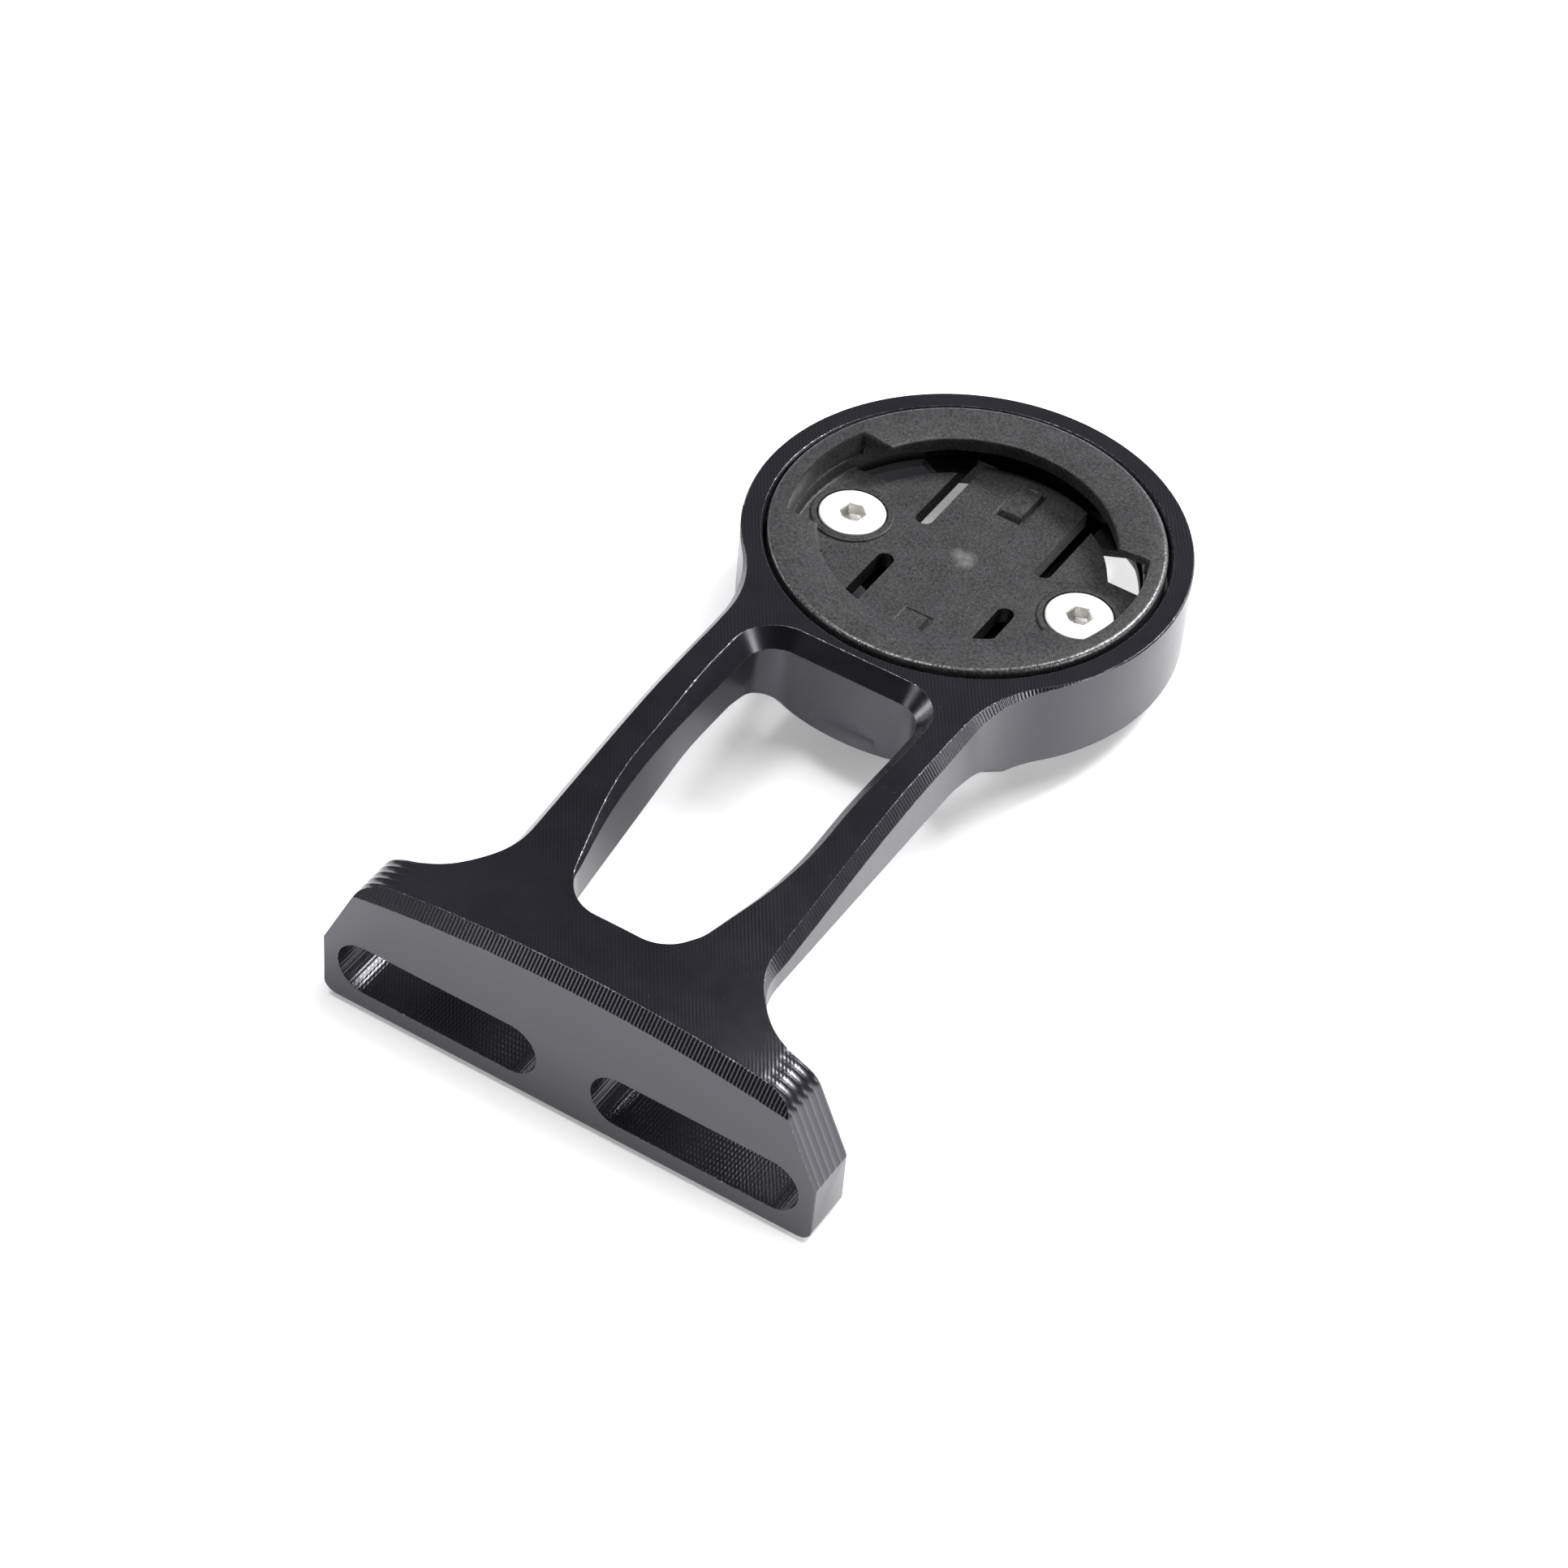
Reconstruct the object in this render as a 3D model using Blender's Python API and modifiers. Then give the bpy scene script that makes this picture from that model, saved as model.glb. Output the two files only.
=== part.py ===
"""Bolt-on bar mount for a cycling computer: a milled aluminium arm with a slotted
flange at one end and a round head at the other. The head holds a moulded
quarter-turn insert on two countersunk screws. The insert's floor carries two
springy tongues whose ridges click the computer's foot into place.

Frame: metres, +Z up and square to the head's top face. The origin is the middle
of the flange's bolt face, halfway between its two slots. +Y runs from the bolt
face to the head, +X to the right of a rider who looks forward along +Y.
"""

import math

import bmesh
import bpy
import numpy as np
from mathutils import Matrix, Vector

MM = 0.001
SIDES = (("right", 1), ("left", -1))  # +X and -X
ENDS = (("far", 1), ("near", -1))     # +Y and -Y of the head's centre

# ---- driving dimensions, millimetres ----
# head
HEAD_Y = 61.5          # head centre, from the bolt face
HEAD_TOP = 13.5        # head's top face, above the slots' centre line
HEAD_R = 19.7
HEAD_DEPTH = 8.3       # top face to underside
HEAD_BASE = HEAD_TOP - HEAD_DEPTH
RECESS_R = 17.75       # bore that takes the insert
# heights of the web and bosses are from the head's top face
WEB_TOP = -6.2
WEB_ALONG = 6.0        # half width of the web's bar that runs along Y
WEB_ACROSS = 4.4       # half width of the web's bar that runs along X
WEB_CORNER_R = 2.2
WEB_OPEN_R = 17.1      # the openings stop short of the recess's wall
BOSS_TOP = -5.1        # screw bosses in the recess
BOSS_R = 4.4
TAPPED_R = 1.65
# arms
ARM_HALF = 12.5        # outer walls
ARM_UNDER = HEAD_TOP - 5.3
NECK_R = 11.5          # concave blend from the head into the arms
FOOT_R = 6.6           # concave blend from the arms into the flange
UNDER_CORNER_R = 1.6   # between the flange's back and the arms' underside
BASE_FOOT_R = 20.5     # foot of the head's lower half, where it shows in the window
EDGE_CHAMFER = 0.85
EDGE_CHAMFER_DEEP = 1.1
EDGE_STEP = 2.2        # longest step along the edge chamfer
EDGE_FADE_IN = 6.0     # length over which the edge chamfer grows at the flange
EDGE_FADE_OUT = 17.0   # and thins out on the head
EDGE_LEAST = 0.03      # share of the full chamfer at its ends
EDGE_END_ANGLE = math.radians(-24)  # where it stops round the head, from +X
# window between the arms
WINDOW_HALF = 8.1
WINDOW_HEAD_Y = 41.55
WINDOW_FOOT_Y = 7.05
WINDOW_FOOT_HALF = 5.25
WINDOW_TAPER_Y = 19.5  # where the side walls turn in, at the top
WINDOW_LOW_TAPER_Y = 30.0
WINDOW_LOW_FOOT_HALF = 5.45
WINDOW_BEND_R, WINDOW_FOOT_R, WINDOW_HEAD_R = 45.0, 4.0, 2.9
WINDOW_BEND_PIECES, WINDOW_FOOT_PIECES, WINDOW_HEAD_PIECES = 24, 9, 10
WINDOW_SIDE_PIECES = 14
WINDOW_CUT_TOP, WINDOW_CUT_LOW = 20.0, -10.0
# the chamfer's slope is its width over its depth at full size
WINDOW_CHAMFER = 1.3
WINDOW_CHAMFER_DEEP = 1.55
WINDOW_CHAMFER_LEAST = 0.35
WINDOW_CHAMFER_GROWTH = ((9, 14, 0.75), (26, 10, 0.45))  # from Y, length, added depth
WINDOW_CHAMFER_FADE_Y = 8.3
WINDOW_CHAMFER_FADE = 2.7
WINDOW_CHAMFER_CLEAR = 0.1  # lift above the top surface where no chamfer shows
# top surface: level at the head, eased down and crowned towards the flange
DROP = 2.35
DROP_FROM_Y = 34.8
DROP_TO_Y = 2.8
CROWN = 0.0045         # per millimetre: z falls by CROWN * x * x
CROWN_RUN = 26.6       # length over which the crown grows to full
TOP_GRID_HALF = 26.0
TOP_GRID_BEFORE = 3.0  # how far the grid starts before the bolt face
# flange
FLANGE_HALF = 23.6
FLANGE_THICK = 4.7
FLANGE_BOTTOM = -4.35
FLANGE_SHOULDER = 1.75 # top of the short end face
FLANGE_CORNER_X = 20.05
FLANGE_CORNER_Z = 9.45
FLANGE_TOP_R = 3.4
FLANGE_FOOT_R = 1.3
FACE_CHAMFER = 1.15
FACE_CHAMFER_HALF = 24.0
FACE_CHAMFER_PIECES = 28
SLOT_IN = 2.6
SLOT_OUT = 22.15
SLOT_HIGH = 5.3
# insert; heights are from the head's top face
INSERT_R = 17.4
INSERT_TOP = 0.4
INSERT_UNDER = -4.8
INSERT_FLOOR = -3.2
LIP_R = 13.05
LIP_TOP = 0.25         # the top face dips slightly towards the lip
LIP_UNDER = -1.2
LEAD_IN = -0.2         # the lip's underside rises to here beside each tab opening
LEAD_IN_LONG = 2.6
LEAD_IN_INNER, LEAD_IN_OUTER = 12.6, 15.4
LEAD_IN_ANGLES = (20, 25, 30, 35, 40, 45)  # stations, degrees from the X axis
LEDGE_TOP = -4.0       # the floor steps down to a ledge under each lip
POCKET_R = 15.55
TAB_HALF = 6.25
TAB_INNER = LIP_R - 3.2
TAB_OUTER_R = POCKET_R + 0.2
FLOOR_R = 12.45
LUG_HALF = 5.58
THROUGH_MARGIN = 0.15  # from the through openings to the ledge's edges
THROUGH_OUTER_END = math.radians(46.4)
THROUGH_INNER_END = math.radians(51.0)
RELIEF_IN = 5.24
RELIEF_OUT = 6.84
RELIEF_FROM = 2.6
RELIEF_STEP_Y = RELIEF_FROM + 1.6  # floor's edge at the tongue's root
RELIEF_CORNER_R = 0.79
# tongues
TONGUE_TIP_R = 13.6
TONGUE_GAP = 0.12
TONGUE_ROOT = RELIEF_STEP_Y + TONGUE_GAP
RIDGE_HALF = 1.15
RIDGE_FROM = 7.8
RIDGE_TO = 12.1
RIDGE_HIGH = 0.45
RIDGE_SLANT = 0.35     # how far each of the ridge's sides leans in
# screws, M3 countersunk with a 2 mm hexagon socket
SCREW_X = 11.45
SCREW_HEAD_TOP = -2.9  # from the head's top face
SCREW_HEAD_R = 3.0
SCREW_RIM = 0.3        # depth of the straight rim above the cone
SCREW_CONE_END = 1.8   # depth where the cone meets the shank
SCREW_R = 1.5
SCREW_TIP_CHAMFER = 0.35
SCREW_LONG = 5.0
SCREW_CLEARANCE = 0.2
SOCKET_ACROSS = 2.0
SOCKET_DEEP = 1.1
SOCKET_TURN = math.radians(17)

# ---- start from an empty scene ----
for old in list(bpy.data.objects):
    bpy.data.objects.remove(old, do_unlink=True)
for old in list(bpy.data.collections):
    bpy.data.collections.remove(old)

scene = bpy.context.scene
parts = bpy.data.collections.new("cycling_computer_mount")
cutters = bpy.data.collections.new("cutters")
scene.collection.children.link(parts)
scene.collection.children.link(cutters)


# ---- outlines ----
def rounded(corners, step=math.radians(9)):
    """The closed outline through these corners (x, y, radius), each rounded to its
    radius by a tangent arc with a point every step of turn. A fourth number in a
    corner sets how many pieces its arc has."""
    points = []
    for i, (x, y, radius, *fixed) in enumerate(corners):
        if radius == 0:
            points.append((x, y))
            continue
        here = Vector((x, y))
        back = (Vector(corners[i - 1][:2]) - here).normalized()
        ahead = (Vector(corners[(i + 1) % len(corners)][:2]) - here).normalized()
        turn = math.pi - back.angle(ahead)
        reach = radius * math.tan(turn / 2)
        centre = here + (back + ahead).normalized() * (radius / math.cos(turn / 2))
        first = here + back * reach - centre
        last = here + ahead * reach - centre
        sense = 1 if first.x * last.y - first.y * last.x > 0 else -1
        pieces = fixed[0] if fixed else max(2, math.ceil(turn / step))
        start = math.atan2(first.y, first.x)
        points += arc(centre.x, centre.y, radius, start, start + sense * turn, pieces)
    return points


def arc(centre_x, centre_y, radius, start, end, pieces):
    points = []
    for k in range(pieces + 1):
        angle = start + (end - start) * k / pieces
        points.append((centre_x + radius * math.cos(angle), centre_y + radius * math.sin(angle)))
    return points


def mirrored(points, side):
    return [(side * x, y) for x, y in points]


def ease(t):
    """Smooth step from 0 to 1, level beyond both ends."""
    t = min(1.0, max(0.0, t))
    return t * t * (3 - 2 * t)


def top_height(x, y):
    """The milled top surface, above the slots' centre line."""
    fall = ease((DROP_FROM_Y - y) / (DROP_FROM_Y - DROP_TO_Y))
    crown = ease((DROP_FROM_Y - y) / CROWN_RUN)
    return HEAD_TOP - DROP * fall - CROWN * crown * x * x


# ---- solids ----
def link(name, mesh, collection):
    """An object in this collection; cutters are drawn as wires and not rendered."""
    obj = bpy.data.objects.new(name, mesh)
    collection.objects.link(obj)
    if collection == cutters:
        obj.hide_render = True
        obj.display_type = "WIRE"
    return obj


def plate(name, outline, low, high, collection=cutters, plane="XY"):
    """A flat outline made solid between two heights. plane says which two axes the
    outline is drawn in: its own height then runs along the third."""
    curve = bpy.data.curves.new(name, "CURVE")
    curve.dimensions = "2D"
    curve.fill_mode = "BOTH"
    curve.extrude = (high - low) / 2 * MM
    spline = curve.splines.new("POLY")
    spline.points.add(len(outline) - 1)
    for point, (x, y) in zip(spline.points, outline):
        point.co = (x * MM, y * MM, 0, 1)
    spline.use_cyclic_u = True
    flat = bpy.data.objects.new(name + "_outline", curve)
    scene.collection.objects.link(flat)
    middle = (high + low) / 2 * MM
    place = {
        "XY": Matrix.Translation((0, 0, middle)),
        "YZ": Matrix(((0, 0, 1, middle), (1, 0, 0, 0), (0, 1, 0, 0), (0, 0, 0, 1))),
        "XZ": Matrix(((1, 0, 0, 0), (0, 0, -1, middle), (0, 1, 0, 0), (0, 0, 0, 1))),
    }[plane]
    mesh = evaluated_mesh(flat)
    bpy.data.objects.remove(flat, do_unlink=True)
    work = bmesh.new()
    work.from_mesh(mesh)
    bmesh.ops.remove_doubles(work, verts=work.verts, dist=1e-7)
    bmesh.ops.transform(work, matrix=place, verts=work.verts)
    bmesh.ops.recalc_face_normals(work, faces=work.faces)
    work.to_mesh(mesh)
    work.free()
    mesh.name = name
    return link(name, mesh, collection)


def head_plate(name, points, low, high, side=1, end=1):
    """A cutter drawn about the head's centre, with heights from the head's top face.
    side and end mirror it across the centre in X and Y."""
    outline = [(side * x, HEAD_Y + end * y) for x, y in points]
    return plate(name, outline, HEAD_TOP + low, HEAD_TOP + high)


def flange_plate(name, points, side, beyond=1):
    """A cutter drawn from the front for one side, through the flange and beyond it."""
    return plate(name, mirrored(points, side), -1, FLANGE_THICK + beyond, plane="XZ")


def loft(name, rings):
    """A capped cutter through rings of equal point counts, in millimetres."""
    work = bmesh.new()
    made = [[work.verts.new(Vector(p) * MM) for p in ring] for ring in rings]
    size = len(made[0])
    for one, two in zip(made, made[1:]):
        for k in range(size):
            work.faces.new((one[k], one[(k + 1) % size], two[(k + 1) % size], two[k]))
    work.faces.new(made[0])
    work.faces.new(made[-1])
    bmesh.ops.recalc_face_normals(work, faces=work.faces)
    mesh = bpy.data.meshes.new(name)
    work.to_mesh(mesh)
    work.free()
    return link(name, mesh, cutters)


def turned(name, profile, steps, origin, collection=cutters):
    """A shape turned about the vertical line through its origin (x, y, z). Its profile
    (radius, height above the origin) starts and ends on the axis."""
    mesh = bpy.data.meshes.new(name)
    points = [(radius * MM, 0, z * MM) for radius, z in profile]
    mesh.from_pydata(points, [(i, i + 1) for i in range(len(points) - 1)], [])
    obj = link(name, mesh, collection)
    obj.location = [value * MM for value in origin]
    turn = obj.modifiers.new("turn", "SCREW")
    turn.axis = "Z"
    turn.angle = math.tau
    turn.steps = turn.render_steps = steps
    turn.use_merge_vertices = True
    turn.merge_threshold = 1e-6
    turn.use_smooth_shade = False
    return obj


# Origins for turned shapes: on the head's axis, with heights from the slots' centre
# line or from the head's top face.
HEAD_AXIS = (0, HEAD_Y, 0)
HEAD_FACE = (0, HEAD_Y, HEAD_TOP)


def screw_place(side, height=0):
    """A point on a screw's axis, its height from the head's top face."""
    return (side * SCREW_X, HEAD_Y, HEAD_TOP + height)


def boolean(obj, other, operation="DIFFERENCE"):
    made = obj.modifiers.new(operation.lower() + "_" + other.name, "BOOLEAN")
    made.operation = operation
    made.object = other
    made.solver = "EXACT"


# ---- finishing ----
def evaluated_mesh(obj):
    bpy.context.view_layer.update()
    depsgraph = bpy.context.evaluated_depsgraph_get()
    return bpy.data.meshes.new_from_object(obj.evaluated_get(depsgraph))


def settle(obj):
    """Turns an object's modifiers into its mesh, cleaned and triangulated."""
    mesh = evaluated_mesh(obj)
    obj.modifiers.clear()
    obj.data = mesh
    work = bmesh.new()
    work.from_mesh(mesh)
    bmesh.ops.remove_doubles(work, verts=work.verts, dist=5e-6)
    bmesh.ops.dissolve_degenerate(work, edges=work.edges, dist=2e-6)
    bmesh.ops.triangulate(work, faces=work.faces)
    work.to_mesh(mesh)
    work.free()


def smooth(obj):
    obj.data.shade_smooth()
    obj.data.set_sharp_from_angle(angle=math.radians(28))


def set_origin(obj, x, y, z):
    """Moves the origin of an object that lies at the world's origin, in millimetres,
    and leaves its shape in place."""
    origin = Vector((x, y, z)) * MM
    obj.data.transform(Matrix.Translation(-origin))
    obj.location = origin


# ---- materials ----
def material(name, colour, metallic, roughness):
    made = bpy.data.materials.new(name)
    made.use_nodes = True
    shader = made.node_tree.nodes["Principled BSDF"]
    shader.inputs["Base Color"].default_value = (*colour, 1.0)
    shader.inputs["Metallic"].default_value = metallic
    shader.inputs["Roughness"].default_value = roughness
    return made


def black_anodised():
    return material("black_anodised", colour=(0.012, 0.012, 0.016), metallic=1.0, roughness=0.32)


def charcoal_plastic(suffix="", roughness=0.55):
    return material(
        "charcoal_plastic" + suffix,
        colour=(0.028, 0.028, 0.030), metallic=0.0, roughness=roughness,
    )


def stainless(suffix):
    return material("stainless" + suffix, colour=(0.62, 0.61, 0.59), metallic=1.0, roughness=0.28)


# ---- the arm: blank ----
def right_outline():
    """Right half of the plan outline, from the flange's front corner to the head's
    far point."""
    points = [(FLANGE_HALF, 0.0), (FLANGE_HALF, FLANGE_THICK)]
    # flange's back face, rounded into the arm's wall
    points += arc(ARM_HALF + FOOT_R, FLANGE_THICK + FOOT_R, FOOT_R, -math.pi / 2, -math.pi, 12)
    # arm's wall, rounded into the head
    neck_x = ARM_HALF + NECK_R
    neck_y = HEAD_Y - math.sqrt((HEAD_R + NECK_R) ** 2 - neck_x**2)
    toward_head = math.atan2(HEAD_Y - neck_y, -neck_x)
    points += arc(neck_x, neck_y, NECK_R, math.pi, toward_head, 7)
    points += arc(0, HEAD_Y, HEAD_R, toward_head - math.pi, math.pi / 2, 40)[1:]
    return points


def blank(name, collection=cutters):
    """The whole plan outline, taller than the finished arm."""
    right = right_outline()
    left = [(-x, y) for x, y in reversed(right) if x > 1e-6]
    return plate(name, right + left, -30, 40, collection)


def shape_underside(arm):
    """Cuts to the arms' underside and the flange's base, then adds the head's lower
    half: a round base that flares into the arms' underside."""
    past_head = HEAD_Y + HEAD_R + 1
    side_view = rounded(
        [
            (-1, FLANGE_BOTTOM, 0),
            (FLANGE_THICK, FLANGE_BOTTOM, 0),
            (FLANGE_THICK, ARM_UNDER, UNDER_CORNER_R),
            (past_head, ARM_UNDER, 0),
            (past_head, HEAD_TOP + 5, 0),
            (-1, HEAD_TOP + 5, 0),
        ],
        math.radians(15),
    )
    boolean(arm, plate("side_envelope", side_view, -30, 30, plane="YZ"), "INTERSECT")
    base = turned(
        "head_base",
        [
            (0, ARM_UNDER + 2.4),
            (28.0, ARM_UNDER + 2.4),
            (26.6, ARM_UNDER - 0.05),
            (25.0, ARM_UNDER - 0.3),
            (23.2, ARM_UNDER - 0.85),
            (21.6, ARM_UNDER - 1.8),
            (BASE_FOOT_R, HEAD_BASE),
            (0, HEAD_BASE),
        ],
        120, HEAD_AXIS,
    )
    boolean(base, blank("base_outline"), "INTERSECT")
    boolean(arm, base, "UNION")


def shape_top(arm):
    """Cuts away all above the top surface: over the arms with a grid that follows
    top_height, over the head with a level plate."""
    work = bmesh.new()
    bmesh.ops.create_grid(work, x_segments=16, y_segments=26, size=1.0)
    for vert in work.verts:
        x = vert.co.x * TOP_GRID_HALF
        y = -TOP_GRID_BEFORE + (vert.co.y + 1) / 2 * (DROP_FROM_Y + TOP_GRID_BEFORE)
        vert.co = (x * MM, y * MM, top_height(x, y) * MM)
    lifted = bmesh.ops.extrude_face_region(work, geom=work.faces[:])["geom"]
    for item in lifted:
        if isinstance(item, bmesh.types.BMVert):
            item.co.z = 30 * MM
    bmesh.ops.recalc_face_normals(work, faces=work.faces)
    mesh = bpy.data.meshes.new("top_surface")
    work.to_mesh(mesh)
    work.free()
    boolean(arm, link("top_surface", mesh, cutters))
    start = DROP_FROM_Y - 0.01
    area = [(-30, start), (30, start), (30, 90), (-30, 90)]
    boolean(arm, plate("head_top", area, HEAD_TOP, 45))


# ---- the arm: flange ----
def cut_flange_ends(arm):
    """Sloped ends with a rounded shoulder, and rounded lower corners."""
    inner_x, outer_x = FLANGE_CORNER_X - 9, FLANGE_HALF + 3
    slope = rounded(
        [
            (inner_x, FLANGE_CORNER_Z + 1.9, 0),
            (FLANGE_CORNER_X, FLANGE_CORNER_Z, FLANGE_TOP_R),
            (FLANGE_HALF, FLANGE_SHOULDER, 0),
            (outer_x, FLANGE_SHOULDER, 0),
            (outer_x, HEAD_TOP + 6, 0),
            (inner_x, HEAD_TOP + 6, 0),
        ],
        math.radians(8),
    )
    foot_x, foot_z = FLANGE_HALF - FLANGE_FOOT_R, FLANGE_BOTTOM + FLANGE_FOOT_R
    foot = [(FLANGE_HALF + 1, FLANGE_BOTTOM - 1), (FLANGE_HALF + 1, foot_z)]
    foot += arc(foot_x, foot_z, FLANGE_FOOT_R, 0, -math.pi / 2, 6)
    foot += [(foot_x, FLANGE_BOTTOM - 1)]
    for side_name, side in SIDES:
        boolean(arm, flange_plate("end_slope_" + side_name, slope, side, beyond=1.4))
        boolean(arm, flange_plate("end_foot_" + side_name, foot, side))


def cut_face_chamfer(arm):
    """Chamfer along the bolt face's arched top edge."""
    past = 0.6
    sections = []
    for k in range(FACE_CHAMFER_PIECES + 1):
        x = -FACE_CHAMFER_HALF + 2 * FACE_CHAMFER_HALF * k / FACE_CHAMFER_PIECES
        z = top_height(x, 0)
        sections.append([
            (x, -past, z - FACE_CHAMFER - past),
            (x, FACE_CHAMFER + past, z + past),
            (x, -past, z + past),
        ])
    boolean(arm, loft("face_chamfer", sections))


def cut_slots(arm):
    """Slots for the two bolts."""
    radius = SLOT_HIGH / 2
    slot = arc(SLOT_OUT - radius, 0, radius, -math.pi / 2, math.pi / 2, 12)
    slot += arc(SLOT_IN + radius, 0, radius, math.pi / 2, 1.5 * math.pi, 12)
    for side_name, side in SIDES:
        boolean(arm, flange_plate("slot_cut_" + side_name, slot, side))


# ---- the arm: window ----
def window_outline(low):
    """Outline of the window, counter-clockwise: low is 0 under the chamfer and 1 at the
    underside. The same point has nearly the same Y in both, so the walls aren't twisted."""
    foot = WINDOW_FOOT_HALF + (WINDOW_LOW_FOOT_HALF - WINDOW_FOOT_HALF) * low
    taper = WINDOW_TAPER_Y + (WINDOW_LOW_TAPER_Y - WINDOW_TAPER_Y) * low
    shape = rounded([
        (-WINDOW_HALF, taper, WINDOW_BEND_R, WINDOW_BEND_PIECES),
        (-foot, WINDOW_FOOT_Y, WINDOW_FOOT_R, WINDOW_FOOT_PIECES),
        (0, WINDOW_FOOT_Y, 0),
        (0, WINDOW_HEAD_Y, 0),
        (-WINDOW_HALF, WINDOW_HEAD_Y, WINDOW_HEAD_R, WINDOW_HEAD_PIECES),
    ])
    foot_start = WINDOW_BEND_PIECES + 1
    bend = shape[:foot_start]
    foot_arc = shape[foot_start : foot_start + WINDOW_FOOT_PIECES + 1]
    head_arc = shape[-WINDOW_HEAD_PIECES - 1 :]
    # the wall between the two arcs, respaced evenly in Y
    wall = [foot_arc[0]] + bend[::-1] + [head_arc[-1]]
    ys = np.linspace(head_arc[-1][1], foot_arc[0][1], WINDOW_SIDE_PIECES + 1)[1:-1]
    xs = np.interp(ys, [p[1] for p in wall], [p[0] for p in wall])
    left = head_arc + [(float(x), float(y)) for x, y in zip(xs, ys)] + foot_arc
    return left + [(-x, y) for x, y in reversed(left)]


def window_chamfer_deep(y):
    """The chamfer's depth; below zero it stays clear of the top surface."""
    deep = WINDOW_CHAMFER_LEAST
    for start, length, added in WINDOW_CHAMFER_GROWTH:
        deep += added * ease((y - start) / length)
    shown = ease((y - WINDOW_CHAMFER_FADE_Y) / WINDOW_CHAMFER_FADE)
    return deep * shown - WINDOW_CHAMFER_CLEAR * (1 - shown)


def cut_window(arm):
    """The window between the arms. Its side walls lean in: they turn at WINDOW_TAPER_Y
    at the top and further from the flange at the underside. A chamfer runs round its
    top edge, and thins out towards the flange. The head's lower half stays standing."""
    wall_top, wall_foot = window_outline(0), window_outline(1)
    low_ring, high_ring = [], []
    for k, (x, y) in enumerate(wall_top):
        after, before = wall_top[(k + 1) % len(wall_top)], wall_top[k - 1]
        along = Vector((after[0] - before[0], after[1] - before[1])).normalized()
        deep = window_chamfer_deep(y)
        rise = 2 * deep + 0.5
        wide = rise * WINDOW_CHAMFER / WINDOW_CHAMFER_DEEP
        z = top_height(x, y) - deep
        low_ring.append((x, y, z))
        high_ring.append((x + along.y * wide, y - along.x * wide, z + rise))
    window = loft(
        "window_cut",
        [
            [(x, y, WINDOW_CUT_TOP) for x, y, _ in high_ring],
            high_ring,
            low_ring,
            [(x, y, ARM_UNDER) for x, y in wall_foot],
            [(x, y, WINDOW_CUT_LOW) for x, y in wall_foot],
        ],
    )
    nose = turned(
        "nose_keep",
        [
            (0, ARM_UNDER - 0.3),
            (BASE_FOOT_R - 1.6, ARM_UNDER - 0.3),
            (BASE_FOOT_R, ARM_UNDER - 1.9),
            (BASE_FOOT_R, HEAD_BASE - 2),
            (0, HEAD_BASE - 2),
        ],
        96, HEAD_AXIS,
    )
    boolean(window, nose)
    boolean(arm, window)


# ---- the arm: outer edges ----
def edge_path():
    """Points along the right outer top edge, from the foot blend to part way round
    the head."""
    path = [(x, y) for x, y in right_outline()[2:] if y > FLANGE_THICK + 2.0]
    dense = [path[0]]
    for a, b in zip(path, path[1:]):
        pieces = max(1, math.ceil(math.dist(a, b) / EDGE_STEP))
        for k in range(1, pieces + 1):
            dense.append((a[0] + (b[0] - a[0]) * k / pieces, a[1] + (b[1] - a[1]) * k / pieces))
    end_y = HEAD_Y + HEAD_R * math.sin(EDGE_END_ANGLE)
    return [p for p in dense if p[1] < end_y]


def cut_edge_chamfers(arm):
    """Chamfer along the arms' outer top edges, run out on the head and at the foot."""
    path = edge_path()
    travelled = [0.0]
    for a, b in zip(path, path[1:]):
        travelled.append(travelled[-1] + math.dist(a, b))
    sections = []
    for i, (x, y) in enumerate(path):
        before, after = path[max(0, i - 1)], path[min(len(path) - 1, i + 1)]
        along = Vector((after[0] - before[0], after[1] - before[1])).normalized()
        outward = Vector((along.y, -along.x))
        fade_in = ease(travelled[i] / EDGE_FADE_IN)
        fade_out = ease((travelled[-1] - travelled[i]) / EDGE_FADE_OUT)
        size = fade_in * fade_out * (1 - EDGE_LEAST) + EDGE_LEAST
        wide, deep = EDGE_CHAMFER * size, EDGE_CHAMFER_DEEP * size
        slope = deep / wide
        z = top_height(x - outward.x * wide, y - outward.y * wide)
        triangle = (  # distance outward from the edge, height
            (-wide - 0.4, z + 0.4 * slope),
            (0.5, z - deep - 0.5 * slope),
            (0.5, z + 0.4 * slope),
        )
        sections.append([(x + outward.x * d, y + outward.y * d, height) for d, height in triangle])
    for side_name, side in SIDES:
        rings = [[(side * x, y, z) for x, y, z in section] for section in sections]
        boolean(arm, loft("edge_chamfer_" + side_name, rings))


# ---- the arm: inside the head ----
def cut_recess(arm):
    """Recess for the insert, down to the cross web. The screw bosses are taken out of
    the cutter, so they stay standing."""
    recess = turned(
        "recess_cut",
        [(0, 1), (RECESS_R, 1), (RECESS_R, WEB_TOP), (0, WEB_TOP)],
        96, HEAD_FACE,
    )
    boss_end = SCREW_X + 8.5
    boss = [(boss_end, -BOSS_R), (boss_end, BOSS_R)]
    boss += arc(SCREW_X, 0, BOSS_R, math.pi / 2, 1.5 * math.pi, 14)
    for side_name, side in SIDES:
        boolean(recess, head_plate("boss_keep_" + side_name, boss, WEB_TOP - 1, BOSS_TOP, side))
    boolean(arm, recess)


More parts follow.
